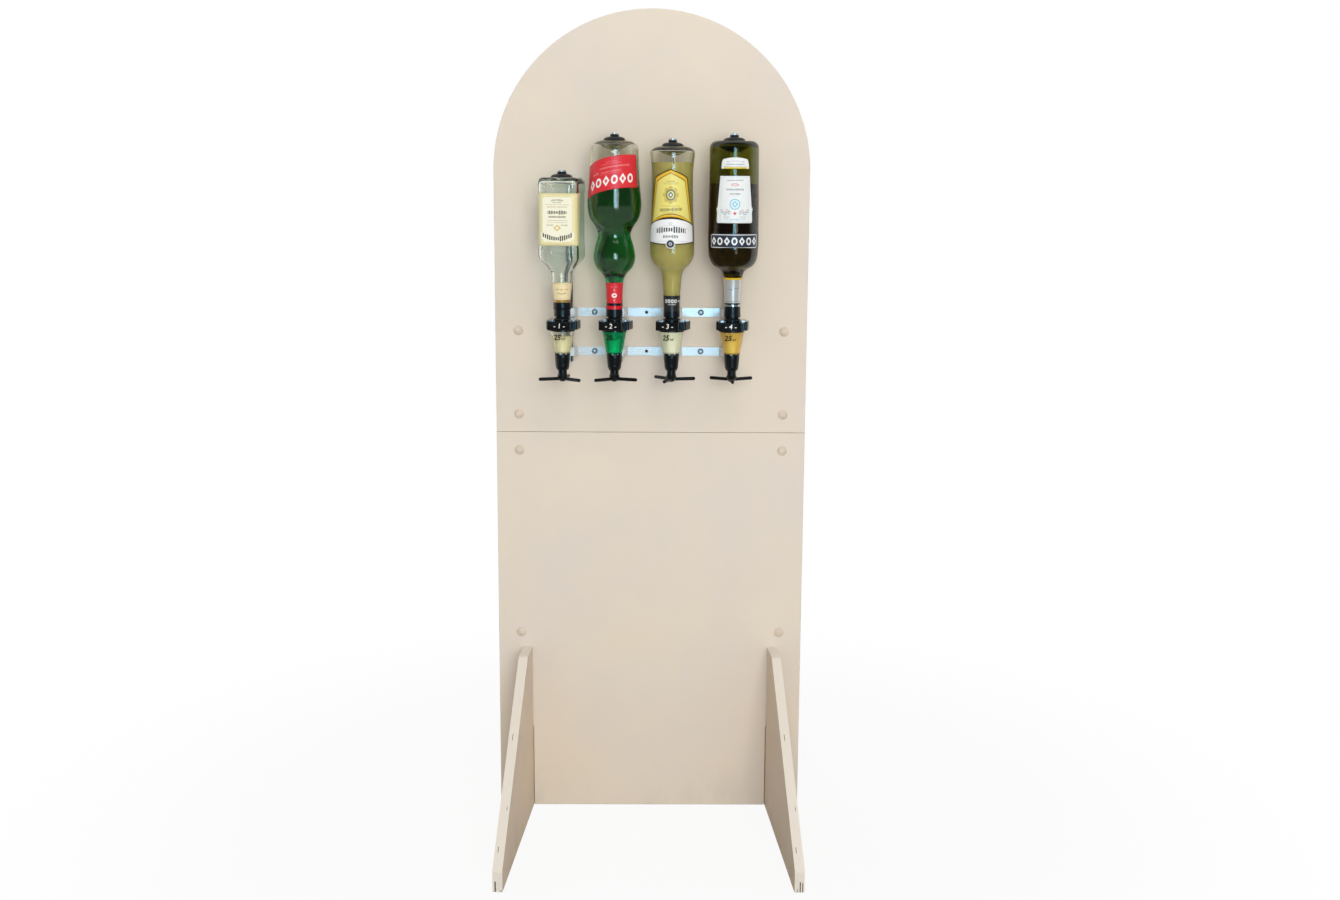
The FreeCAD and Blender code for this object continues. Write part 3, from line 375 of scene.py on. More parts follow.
def board_paint(name, foot=None, splay=0.0, tone=(229, 218, 203), core_gaps=()):
    """Thin beige paint on plywood. The layers show on the sawn edges. core_gaps are open slots at the foot of
    a toe, as (place across the thickness, half width, height) in millimetres, painted dark as the shade inside
    them."""
    finish = Finish(name, tone)
    w = finish.w
    turn = math.radians(splay)
    straight = {"Rotation": (0.0, 0.0, turn)}
    x, y, z = w.parts(w.add("Mapping", {"Vector": finish.place, **straight}))
    facing = w.add("Mapping", {"Vector": w.add("TexCoord", outlet=1), **straight}, vector_type="NORMAL")
    facing_x, facing_y, _ = w.parts(facing)
    if foot:
        across, lengthwise, faces_out = w.minus(x, foot_middle(foot, turn)), y, facing_x
    else:
        across, lengthwise, faces_out = y, x, facing_y
    across = w.plus(across, BOARD_THICK / 2)
    on_edge = w.ramp(w.size(faces_out), 0.75, 0.6)
    along = w.plus(z, w.times(lengthwise, 0.8))
    ply = w.group(PLY_EDGE, {"Across": across, "Along": along, "Thickness": BOARD_THICK})
    paint = w.group(ROLLED_PAINT, {"Place": finish.place})
    red, green, blue = tone
    warm, cool = tint(red + 3, green + 1, blue - 3), tint(red - 3, green - 3, blue + 1)
    smear = w.noise(w.add("Mapping", {"Vector": finish.place, "Scale": (3.0, 3.0, 1.1)}), 3.4, 6.0, 0.62)
    floor_dirt = w.times(w.ramp(z, 0.12, 0.0), w.ramp(smear, 0.45, 0.75))
    face = w.mix(w.times(floor_dirt, 0.16), w.mix(paint["Cloud"], warm, cool), tint(150, 140, 128))
    sawn = w.mix(w.times(ply["Grain"], 0.5), tint(237, 229, 218), tint(206, 192, 172))
    sawn = w.mix(w.times(ply["Glue Line"], 0.28), sawn, tint(196, 176, 150))
    gap = ply["Gap"]
    for core_gap in core_gaps:
        middle, half_width, height = [value * MM for value in core_gap]
        slot = w.ramp(w.size(w.minus(across, middle)), half_width, 0.7 * half_width)
        slot = w.times(slot, w.ramp(z, height, height - MM))
        gap = w.work("MAXIMUM", gap, w.times(slot, w.ramp(facing_y, -0.8, -0.95)))
    # core gaps: the dark brown is painted shade inside the voids
    painted = w.mix(on_edge, face, w.mix(gap, sawn, tint(88, 76, 64)))
    if not foot:
        # open screw holes: dark brown, bare wood with painted shade inside the holes
        painted = w.mix(spare_holes(w, x, y, z), painted, tint(84, 66, 48))
    finish.set("Base Color", painted)
    finish.set("Roughness", w.ramp(paint["Cloud"], 0.0, 1.0, 0.56, 0.68))
    sunk = w.times(on_edge, w.plus(w.times(ply["Glue Line"], 0.5), w.times(gap, 4.0)))
    finish.bump(w.minus(w.times(paint["Stipple"], 0.35), sunk), 0.10 * MM, 0.8)
    return finish.material


def painted_bolt():
    """The board's paint, rolled over a bolt's head."""
    finish = Finish("painted_bolt", (222, 207, 190))
    paint = finish.w.group(ROLLED_PAINT, {"Place": finish.place, "Cloud Size": 0.01, "Stipple Size": 0.0009})
    finish.set("Base Color", finish.w.mix(paint["Cloud"], tint(224, 209, 192), tint(214, 197, 178)))
    finish.bump(paint["Stipple"], 0.08 * MM)
    return finish.material


def bright_rail():
    """Plated strip, drawn lengthwise."""
    finish = Finish("bright_rail", (225, 224, 222), metallic=0.2)
    w = finish.w
    drawn = w.noise(w.add("Mapping", {"Vector": finish.place, "Scale": (4.0, 900.0, 900.0)}), 1.0, 3.0, 0.6)
    marks = w.group(HANDLING, {"Place": finish.place, "Smudge Size": 0.05})
    finish.set("Roughness", w.plus(w.ramp(marks["Smudge"], 0.0, 1.0, 0.24, 0.28), w.times(drawn, 0.05)))
    finish.set("Base Color", w.mix(marks["Smudge"], finish.base, tint(216, 217, 217)))
    finish.bump(drawn, 0.01 * MM, 0.4)
    return finish.material


def nylon():
    """Natural nylon, which lets light through. The stem's riveted end under the trigger is coloured nearly
    black.
    """
    finish = Finish("nylon", (250, 250, 246), IOR=1.3, Transmission_Weight=0.35).handled(0.008, (0.36, 0.5))
    w = finish.w
    rivet = w.ramp(w.parts(finish.place)[2], STEM_RIVET_TOP, STEM_RIVET_TOP - 0.6 * MM)
    finish.set("Base Color", w.mix(rivet, finish.base, tint(26, 26, 27)))
    return finish.material


def make_finishes():
    """Every plain finish by its name."""
    left_gaps = ((5.0, 1.4, 20), (15.4, 0.8, 4.5))
    right_gaps = ((10.2, 1.1, 20), (14.6, 0.9, 18), (5.2, 0.6, 7))
    plastic = {"bend": 1.49, "roughness": 0.03}
    boards = {      # node, splay, colour and core gaps
        "board_paint": (),
        # one paint on both feet: the left foot's lighter tone is painted light, the right foot's darker tone
        # painted shade
        "left_foot_lit_paint": ("left_foot", FOOT_SPLAY, (224, 207, 188), left_gaps),
        "right_foot_shaded_paint": ("right_foot", -FOOT_SPLAY, (216, 199, 178), right_gaps),
    }
    made = {name: board_paint(name, *values) for name, values in boards.items()}
    made.update(painted_bolt=painted_bolt(), bright_rail=bright_rail(), nylon=nylon())
    made["clear_plastic"] = see_through("clear_plastic", (246, 248, 246), (240, 241, 240), **plastic)
    handled = {     # colour, metallic, size of the smudges, gloss, and how much paler it wears
        "zinc": ((188, 190, 192), 0.7, 0.004, (0.24, 0.42)),
        "satin_tube": ((150, 152, 152), 1.0, 0.03, (0.32, 0.5)),
        "polished": ((228, 230, 232), 0.55, 0.02, (0.1, 0.2)),
        "spring_wire": ((150, 150, 152), 1.0, 0.003, (0.28, 0.45)),
        "black_rubber": ((25, 25, 26), 0.0, 0.012, (0.5, 0.72), 0.006),
        "black_moulding": ((15, 15, 16), 0.0, 0.02, (0.16, 0.34), 0.003),
        "black_matt": ((14, 14, 15), 0.0, 0.016, (0.3, 0.48), 0.003),
        "gold_band": ((206, 165, 98), 0.5, 0.006, (0.25, 0.45)),
        "red_foil": ((205, 22, 36), 0.0, 0.01, (0.26, 0.42)),
        "black_foil": ((14, 14, 16), 0.0, 0.01, (0.28, 0.45)),
        "silver_foil": ((205, 207, 206), 0.85, 0.012, (0.2, 0.42)),
        "yellow_band": ((222, 188, 40), 0.0, 0.006, (0.3, 0.42)),
        "dark_gold_border": ((40, 34, 22), 0.0, 0.006, (0.36, 0.5)),
        "white_ink": ((238, 238, 236), 0.0, 0.004, (0.42, 0.6)),
        "black_ink": ((24, 22, 20), 0.0, 0.004, (0.42, 0.6)),
    }
    for name, (colour, metallic, *use) in handled.items():
        made[name] = Finish(name, colour, metallic=metallic).handled(*use).material
    glass = {       # colour, what it passes of the lamps' light, absorption and its density
        "clear_glass": ((250, 253, 251), (228, 234, 230), (0.72, 0.86, 0.80), 18.0),
        # bottles 2 and 3 are clear glass; this greyer, darker copy is painted shade from the shadowed board
        # behind them
        "shaded_clear_glass": ((250, 251, 249), (214, 216, 208), (0.80, 0.79, 0.68), 120.0),
        "olive_glass": ((250, 250, 245), (228, 234, 230), (0.66, 0.67, 0.0), 700.0),
    }
    made.update({name: see_through(name, *values) for name, values in glass.items()})
    return made


def make_drinks():
    """The drink of each station, in the bottle and in the measure."""
    bends = (1.36, 1.12)                            # less in the measure, so that it stays bright
    poured = {      # name, then in the bottle and in the measure: colour, absorption, density and haze
        # each measure's copy is the same drink made paler and hazier: painted light for the light the measure
        # gathers
        1: ("straw_drink", ((255, 255, 252), (0.90, 0.72, 0.05), 80.0, 0.0),
            ((255, 246, 212), (0.99, 0.92, 0.45), 60.0, 0.45)),
        2: ("green_drink", ((250, 255, 252), (0.0, 0.973, 0.925), 640.0, 0.0),
            ((20, 225, 150), (0.03, 0.94, 0.85), 560.0, 0.2)),
        3: ("cloudy_drink", ((214, 202, 128), (0.60, 0.50, 0.0), 20.0, 0.78),
            ((254, 252, 224), (0.90, 0.86, 0.3), 20.0, 0.6)),
        4: ("amber_drink", ((255, 255, 252), (0.905, 0.735, 0.02), 190.0, 0.0),
            ((255, 220, 122), (0.985, 0.89, 0.1), 110.0, 0.45)),
    }
    return {station: [see_through(name + ending, colour, (244, 244, 244), *depth, bend,
                                  Specular_Tint=(0.04, 0.04, 0.04, 1.0))
                      for ending, bend, (colour, *depth) in zip(("", "_measured"), bends, kinds)]
            for station, (name, *kinds) in poured.items()}


FINISHES = make_finishes()


# ---- print ----
def printed_paper(name, ground, marks, roughness=0.5, metallic=0.0):
    """Paper or foil with printed shapes, each laid over the last."""
    finish = Finish(name, ground, roughness, metallic)
    w = finish.w
    paper = w.add("UVMap", uv_map="print")
    colour = finish.base
    for kind, ink, sizes in marks:
        mask = w.group(PRINTS[kind], {"Paper": paper, **sizes})["Mask"]
        colour = w.mix(mask, colour, tint(*ink))
    fibres = w.noise(finish.place, 2600.0, 2.0)
    finish.set("Base Color", w.mix(w.times(fibres, 0.06), colour, tint(200, 196, 180)))
    finish.bump(fibres, 0.02 * MM, 0.5)
    return finish.material


def mark(kind, ink, y, half_width, half_height, x=0, **more):
    """One printed shape: (kind, ink, sizes in centimetres). y counts up from the bottle's mouth."""
    return kind, ink, {"X": x, "Y": y, "Half Width": half_width, "Half Height": half_height, **more}


panel, disc, lozenge = [partial(mark, kind) for kind in ("panel", "disc", "lozenge")]


def strokes(ink, y, half_width, half_height, pitch, weight, **more):
    return mark("strokes", ink, y, half_width, half_height, Pitch=pitch, Weight=weight, **more)


def rules(ink, *rows):
    """Thin printed rules, as (height, half length, half thickness)."""
    return [panel(ink, *row) for row in rows]


def both_sides(shape, *sizes, x):
    """A mark on either side of the middle."""
    return [shape(*sizes, x=side * x) for side in (-1, 1)]


def holed(shape, ink, ground, y, outer, inner, places=(0,)):
    """Marks with an opening through which the ground shows."""
    return [shape(shade, y, *size, x=x) for shade, size in ((ink, outer), (ground, inner)) for x in places]


# ---- meshes ----
def around(centre, radius, way, level):
    """A point round an upright axis. A way of 0 faces the front."""
    return centre[0] + radius * math.sin(way), centre[1] - radius * math.cos(way), level


def outward(way):
    return Vector((math.sin(way), -math.cos(way), 0.0))


def steps(low, high, size):
    count = max(1, round((high - low) / size))
    return [low + (high - low) * index / count for index in range(count + 1)]


def finished(name, mesh, material, body="stand", smooth=35.0):
    """A piece from a mesh, shaded smooth where it bends less than an angle, that rides on a body."""
    piece = bpy.data.objects.new(name, mesh)
    bpy.context.scene.collection.objects.link(piece)
    mesh.materials.clear()
    mesh.materials.append(material)
    mesh.shade_smooth()
    mesh.set_sharp_from_angle(angle=math.radians(smooth))
    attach(piece, body)
    return piece


def mesh_from(name, vertices, faces, turn_out=True):
    """A mesh with its doubles merged, and its faces turned outwards if asked."""
    mesh = bpy.data.meshes.new(name)
    mesh.from_pydata([tuple(v) for v in vertices], [], faces)
    shape = bmesh.new()
    shape.from_mesh(mesh)
    bmesh.ops.remove_doubles(shape, verts=shape.verts, dist=1e-6)
    if turn_out:
        bmesh.ops.recalc_face_normals(shape, faces=shape.faces)
    shape.to_mesh(mesh)
    shape.free()
    return mesh


def turned(name, outline, centre):
    """A closed outline of (radius, level) points turned about an upright axis. A radius can also be a row
    of them, one for each way."""
    vertices, rings = [], []
    for radius, level in outline:
        row = radius if isinstance(radius, list) else [radius] * (ROUND if radius else 1)
        rings.append((len(vertices), len(row)))
        vertices += [around(centre, reach, way, level) for reach, way in zip(row, WAYS)]
    faces = []
    for (start, count), (following, next_count) in zip(rings, rings[1:] + rings[:1]):
        for step in range(ROUND):
            after = (step + 1) % ROUND
            corners = (start + step % count, start + after % count,
                       following + after % next_count, following + step % next_count)
            face = list(dict.fromkeys(corners))
            if len(face) > 2:
                faces.append(face)
    return mesh_from(name, vertices, faces)


def merged_copy(node):
    """The mesh of a CAD node with its loose triangles joined."""
    source = frame["nodes"][node].data
    faces = [tuple(face.vertices) for face in source.polygons]
    return mesh_from(node + "_joined", [v.co for v in source.vertices], faces, turn_out=False)


class Wall:
    """The wall of a turned or square vessel, met from its axis or from outside, with any paper on it."""
    REACH = 0.2

    def __init__(self, tree, centre, lift=0.0):
        self.tree, self.centre, self.lift = tree, centre, lift

    @classmethod
    def of(cls, mesh, centre):
        shape = bmesh.new()
        shape.from_mesh(mesh)
        tree = BVHTree.FromBMesh(shape)
        shape.free()
        return cls(tree, centre)

    def under(self, papers):
        """The same wall with a number of papers already on it."""
        return Wall(self.tree, self.centre, papers * PAPER_LAYER)

    def inner(self, level, way=0.0):
        return self.met(level, 0.0, outward(way))

    def outer(self, level, way=0.0):
        return self.met(level, -self.REACH, -outward(way)) + self.lift

    def met(self, level, start, towards):
        middle = Vector((*self.centre, level))
        hit = self.tree.ray_cast(middle + towards * start, towards, self.REACH)
        return (hit[0].xy - Vector(self.centre)).length


def sheet(name, across, up, place, material):
    """A thin closed sheet. place gives a point and its spot on the print from shares across and up."""
    spots = [place(column / across, row / up) for row in range(up + 1) for column in range(across + 1)]
    wide = across + 1
    corners = [row * wide + column for row in range(up) for column in range(across)]
    mesh = bpy.data.meshes.new(name)
    mesh.from_pydata([point for point, _ in spots], [], [(c, c + 1, c + wide + 1, c + wide) for c in corners])
    layer = mesh.uv_layers.new(name="print")
    for loop in mesh.loops:
        layer.data[loop.index].uv = spots[loop.vertex_index][1]
    shape = bmesh.new()
    shape.from_mesh(mesh)
    bmesh.ops.remove_doubles(shape, verts=shape.verts, dist=1e-7)
    shape.to_mesh(mesh)
    shape.free()
    solid = finished(name, mesh, material).modifiers.new("paper", "SOLIDIFY")
    solid.thickness = PAPER
    solid.offset = 1.0


def paper_label(name, wall, low, high, half_angle, material, turn=0.0, up=30):
    """Paper on a round bottle. low and high give the lower and upper edge by a share of the width from
    -1 to 1, half_angle the half width in degrees by a share of the height from 0 to 1."""
    def on_glass(column, rise):
        share = 2 * column - 1
        height = low(share) + (high(share) - low(share)) * rise
        way = math.radians(turn + half_angle(rise) * share)
        radius = wall.outer(MOUTH + height, way) + GLASS_GAP
        run = math.radians(half_angle(rise) * share) * radius
        return around(wall.centre, radius, way, MOUTH + height), (run / CM, height / CM)

    sheet(name, 72, up, on_glass, material)


def square_label(name, wall, low, high, wrap, material):
    """Paper round the front of the square bottle and on to its sides."""
    half, corner = 36.8 * MM, 11.4 * MM
    flat = half - corner
    quarter = corner * math.pi / 2
    reach = flat + quarter + wrap
    spin = Matrix.Rotation(math.radians(SQUARE_BOTTLE_TURN), 2)

    def on_square(column, rise):
        distance = reach * (2 * column - 1)
        side = 1.0 if distance >= 0 else -1.0
        run = abs(distance)
        if run <= flat:
            place, out = Vector((side * run, -half)), Vector((0.0, -1.0))
        elif run <= flat + quarter:
            out = outward(side * (run - flat) / corner).xy
            place = Vector((side * flat, -flat)) + out * corner
        else:
            place, out = Vector((side * half, -flat + run - flat - quarter)), Vector((side, 0.0))
        height = low + (high - low) * rise
        spot = spin @ (place + out * GLASS_GAP) + Vector(wall.centre)
        return (*spot, MOUTH + height), (distance / CM, height / CM)

    sheet(name, 120, 24, on_square, material)


def sleeve(name, wall, low, high, material, thickness=0.3):
    """A thin turned sleeve round a bottle's neck, unrolled for its print. Sizes are in millimetres."""
    levels = steps(MOUTH + low * MM, MOUTH + high * MM, 1.5 * MM)
    inside = [(wall.outer(level) + GLASS_GAP, level) for level in levels]
    outside = [(radius + thickness * MM, level) for radius, level in inside]
    mesh = turned("sleeve", [*inside, *reversed(outside)], wall.centre)
    layer = mesh.uv_layers.new(name="print")
    for face in mesh.polygons:
        places = [mesh.vertices[vertex].co - Vector((*wall.centre, MOUTH)) for vertex in face.vertices]
        ways = [math.atan2(place.x, -place.y) for place in places]
        if max(ways) - min(ways) > math.pi:
            ways = [way + 2 * math.pi if way < 0 else way for way in ways]
        for loop, place, way in zip(face.loop_indices, places, ways):
            layer.data[loop].uv = (way * place.xy.length / CM, place.z / CM)
    finished(name, mesh, material)


def wrapped_text(name, words, height, wrap, shift, material, slant=0.25, weight=0.012):
    """Plain figures bent on to a surface. wrap gives a point on it and the way it faces, for a flat place."""
    thickness = 0.06 * MM
    curve = bpy.data.curves.new(name, "FONT")
    curve.body = words
    curve.size = height * 1.35
    curve.align_x = "CENTER"
    curve.shear = slant
    curve.offset = height * weight
    curve.resolution_u = 3
    holder = bpy.data.objects.new(name + "_type", curve)
    flat = plain_mesh(holder)
    shape = bmesh.new()
    shape.from_mesh(flat)
    reach = [v.co.x for v in shape.verts]
    for x in steps(min(reach), max(reach), 0.8 * MM)[1:-1]:
        everything = [*shape.verts, *shape.edges, *shape.faces]
        bmesh.ops.bisect_plane(shape, geom=everything, plane_co=(x, 0, 0), plane_no=(1, 0, 0))
    layers = bmesh.ops.extrude_face_region(shape, geom=shape.faces[:])
    raised = {v for v in layers["geom"] if isinstance(v, bmesh.types.BMVert)}
    for v in shape.verts:
        place, way = wrap(v.co.x + shift, v.co.y)
        v.co = Vector(place) + outward(way) * (thickness if v in raised else 0.0)
    bmesh.ops.recalc_face_normals(shape, faces=shape.faces)
    shape.to_mesh(flat)
    shape.free()
    finished(name, flat, material)


def plain_mesh(holder):
    """The mesh that a piece of type or a modifier comes out as. The object that held it is removed."""
    bpy.context.scene.collection.objects.link(holder)
    mesh = bpy.data.meshes.new_from_object(holder.evaluated_get(bpy.context.evaluated_depsgraph_get()))
    bpy.data.objects.remove(holder)
    return mesh


def stud_ring(name, centre, count, radius, level, size, material):
    """Studs of a size (out, along, up) round an upright axis."""
    holder = bpy.data.objects.new(name + "_tree", bpy.data.meshes.new(name))
    modifier = holder.modifiers.new("studs", "NODES")
    modifier.node_group = STUD_RING
    wanted = {"Count": count, "Ring Radius": radius, "Level": level, "Stud Size": size, "Material": material}
    for item in STUD_RING.interface.items_tree:
        if item.in_out == "INPUT":
            modifier[item.identifier] = wanted[item.name]
    mesh = plain_mesh(holder)
    mesh.transform(Matrix.Translation((*centre, 0.0)))
    finished(name, mesh, material, smooth=60.0)


# ---- bottles, measures and springs ----
def glass_bottle(station, material):
    """The blown glass with its facets smoothed. Gives its wall."""
    mesh = merged_copy(f"bottle_{station}")
    piece = finished(f"bottle_glass_{station}", mesh, material, smooth=40.0)
    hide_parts(f"bottle_{station}")
    return Wall.of(mesh, axis_of(station))


def drink_in_bottle(station, wall, material):
    """Fills the bottle from the bung to its level, with a small meniscus, a hair into the glass."""
    bottom, top = MOUTH + BUNG_TOP, MOUTH + DRINK_LEVEL[station]
    creep, overlap = 1.2 * MM, 0.12 * MM
    outline = [(0.0, bottom)]
    for level in steps(bottom, top, 2.5 * MM):
        row = [wall.inner(level, way) + overlap for way in WAYS]
        outline.append((row, level))
    meniscus = ((0.985, 0.45), (0.95, 0.85), (0.85, 1.0))
    outline += [([radius * share for radius in row], top - creep * drop) for share, drop in meniscus]
    outline.append((0.0, top - creep))
    finished(f"bottle_drink_{station}", turned("drink", outline, wall.centre), material)


def measure_cup(station, drink):
    """The clear chamber, its volume mark, and the drink round the float, which leaves with the valve."""
    centre = axis_of(station)
    mesh = merged_copy(f"chamber_{station}")
    plastic = "clear_plastic"
    cup = finished(f"measure_cup_{station}", mesh, FINISHES[plastic], smooth=30.0)
    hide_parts(f"chamber_{station}")
    wall, stem = Wall.of(mesh, centre), Wall.of(merged_copy(f"valve_stem_{station}"), centre)
    overlap = 0.1 * MM
    levels = steps(MEASURE_FOOT, MEASURE_LEVEL[station], 1.0 * MM)
    outline = [(wall.inner(level) + overlap, level) for level in levels]
    outline += [(stem.outer(level) - overlap, level) for level in reversed(levels)]
    finished(f"measure_drink_{station}", turned("measured", outline, centre), drink, body=f"valve_{station}")

    def on_cup(x, y):
        """Follows the tapered wall, read from the front."""
        level = VOLUME_MARK_LEVEL + y
        radius = wall.outer(level) + 0.03 * MM
        way = math.radians(MEASURE_TURN[station]) + x / radius
        return around(centre, radius, way, level), way

    ink = FINISHES["black_ink"]
    wrapped_text(f"volume_mark_{station}", "25", 10.5 * MM, on_cup, -6.0 * MM, ink, weight=0.035)
    wrapped_text(f"volume_unit_{station}", "ml", 5.2 * MM, on_cup, 5.8 * MM, ink, weight=0.03)


def collar_number(station):
    """A plain number between two dashes on the front of a measure's collar."""
    turn = math.radians(MEASURE_TURN[station])
    along = Vector((math.cos(turn), math.sin(turn), 0.0))

    def on_front(x, y):
        front = around(axis_of(station), COLLAR_FRONT + 0.02 * MM, turn, COLLAR_NUMBER_LEVEL + y)
        return Vector(front) + along * x, turn

    name, ink = f"station_number_{station}", FINISHES["white_ink"]
    wrapped_text(name, f"- {station} -", 9.6 * MM, on_front, 0.0, ink, slant=0.12)


def sprung_coil(station, kind):
    """A spring's coil: a smoothed copy of its CAD node, which is hidden, with a mesh of its own."""
    node = f"{kind}_spring_{station}"
    coil = finished(f"{kind}_coil_{station}", merged_copy(node), FINISHES["spring_wire"])
    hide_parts(node)
    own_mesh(coil)


# ---- labels and necks of the four bottles ----
def dress_square_bottle(wall):
    cream, gold, pale = (238, 229, 178), (220, 202, 130), (248, 245, 222)
    ink, soft_ink, faint = (58, 52, 38), (120, 112, 84), (196, 184, 132)
    middle = 18.03
    marks = [
        panel(gold, middle, 3.36, 4.5, Corner=0.3, Line=0.07),
        panel(pale, middle, 2.8, 4.1, Corner=0.45),
        panel(gold, middle, 2.8, 4.1, Corner=0.45, Line=0.05),
        panel(pale, 14.5, 3.15, 0.62, Corner=0.3, Bow=0.07),
        strokes(soft_ink, 21.55, 1.1, 0.2, 0.19, 0.24, Bow=-0.1),
        strokes(soft_ink, 21.1, 0.8, 0.13, 0.16, 0.22),
        strokes(faint, 20.72, 2.3, 0.09, 0.1, 0.24),
        strokes(faint, 20.3, 1.9, 0.14, 0.15, 0.26),
        strokes(ink, 19.3, 1.75, 0.38, 0.31, 0.3),
        strokes(ink, 18.5, 1.6, 0.2, 0.15, 0.28),
        *rules(soft_ink, (17.85, 1.9, 0.022), (17.5, 1.9, 0.016)),
        *both_sides(strokes, soft_ink, 17.0, 0.6, 0.16, 0.13, 0.2, x=1.35),
        *holed(lozenge, (222, 196, 96), pale, 16.5, (0.72, 0.6), (0.4, 0.32)),
        strokes(ink, 14.55, 2.85, 0.5, 0.4, 0.31, Bow=0.095),
        *rules(gold, (13.75, 2.2, 0.02)),
        *both_sides(strokes, soft_ink, middle, 0.06, 3.9, 0.4, 0.4, x=3.78),
        *[disc(gold, 14.4 + 0.36 * row, 0.075, 0.12, x=3.78) for row in range(21)],
    ]
    paper = printed_paper("cream_paper", cream, marks)
    square_label("square_bottle_label", wall, 132.6 * MM, 227.6 * MM, 16 * MM, paper)
    emblem = [
        panel((80, 62, 40), 4.3, 0.85, 0.045, Corner=0.04, Bow=0.28),
        *holed(disc, (226, 176, 66), (250, 236, 190), 5.05, (0.24, 0.2), (0.1, 0.09)),
        *both_sides(strokes, (110, 86, 56), 5.15, 0.38, 0.09, 0.12, 0.28, x=0.85),
        *rules((214, 182, 120), (6.05, 2.6, 0.02), (3.42, 2.6, 0.02)),
    ]
    sleeve("cream_capsule", wall, 31.8, 63.0, printed_paper("cream_foil", (242, 224, 178), emblem, 0.38))
    sleeve("gold_capsule_band", wall, 26.6, 31.8, FINISHES["gold_band"], 0.45)
    sleeve("square_bottle_lip", wall, LIP_FOOT, 13.0, FINISHES["black_foil"])
    inner, outer, base, top, edge = 15.0, 16.5, 13.2, 26.4, 0.5
    soft = 0.3 * edge
    outline = [(inner, base), (outer - edge, base), (outer - soft, base + soft), (outer, base + edge),
               (outer, top - edge), (outer - soft, top - soft), (outer - edge, top), (inner, top)]
    ring = turned("band", [(radius * MM, MOUTH + level * MM) for radius, level in outline], wall.centre)
    finished("square_bottle_ring", ring, FINISHES["black_foil"])


def dress_bulbed_bottle(wall):
    red, white, pink = (222, 26, 42), (246, 240, 238), (238, 150, 152)
    half_turn, bend, crest = 81.5, 1.6e-3, 60.5
    low, high = 238.9, 298.3
    degrees = math.degrees(CM / wall.outer(MOUTH + low * MM))

    def slanted(height):
        """Edge that drops away from a crest, given in degrees from the label's middle."""
        return lambda share: (height - bend * (half_turn * share - crest) ** 2) * MM

    def follow(kind, ink, sizes):
        """Bends a mark along the lower edge, from which its Y is counted."""
        away = degrees * sizes["X"] - crest
        sizes["Y"] += (low - bend * away ** 2) / 10
        return kind, ink, {**sizes, "Slope": -0.2 * bend * away * degrees, "Bow": -0.1 * bend * degrees ** 2}

    motifs = [-3.05 + 1.55 * step for step in range(6)]
    marks = [
        strokes(pink, 5.05, 1.1, 0.07, 0.12, 0.22, x=1.0), strokes(pink, 4.7, 1.9, 0.07, 0.12, 0.22, x=1.0),
        strokes(pink, 4.1, 2.9, 0.2, 0.16, 0.22, x=1.6), strokes(pink, 3.45, 0.7, 0.22, 0.22, 0.24, x=-2.2),
        strokes(pink, 3.3, 1.9, 0.14, 0.13, 0.22, x=0.9), panel(pink, 2.95, 2.2, 0.015, x=1.0),
        *holed(lozenge, white, red, 1.72, (0.66, 0.98), (0.26, 0.42), motifs[::2]),
        *holed(disc, white, red, 1.72, (0.62, 0.82), (0.3, 0.46), motifs[1::2]),
    ]
    paper = printed_paper("red_paper", red, [follow(*each) for each in marks], 0.4)
    paper_label("red_label", wall, slanted(low), slanted(high), lambda rise: half_turn, paper, turn=-18.5)
    emblem = [
        disc(white, 4.05, 0.5, 0.42), disc(red, 4.08, 0.2, 0.17, x=0.06),
        lozenge(pink, 3.15, 0.14, 0.3), lozenge(pink, 5.05, 0.14, 0.3),
        strokes(pink, 5.65, 0.75, 0.08, 0.12, 0.24),
    ]
    sleeve("red_capsule", wall, 26.0, 64.0, printed_paper("red_capsule_foil", (216, 24, 40), emblem, 0.34))
    sleeve("bulbed_bottle_gap_band", wall, 21.4, 25.9, FINISHES["black_foil"], 0.2)
    sleeve("red_ring", wall, 14.8, 21.3, FINISHES["red_foil"], 0.9)
    sleeve("bulbed_bottle_lip", wall, LIP_FOOT, 14.6, FINISHES["black_foil"])


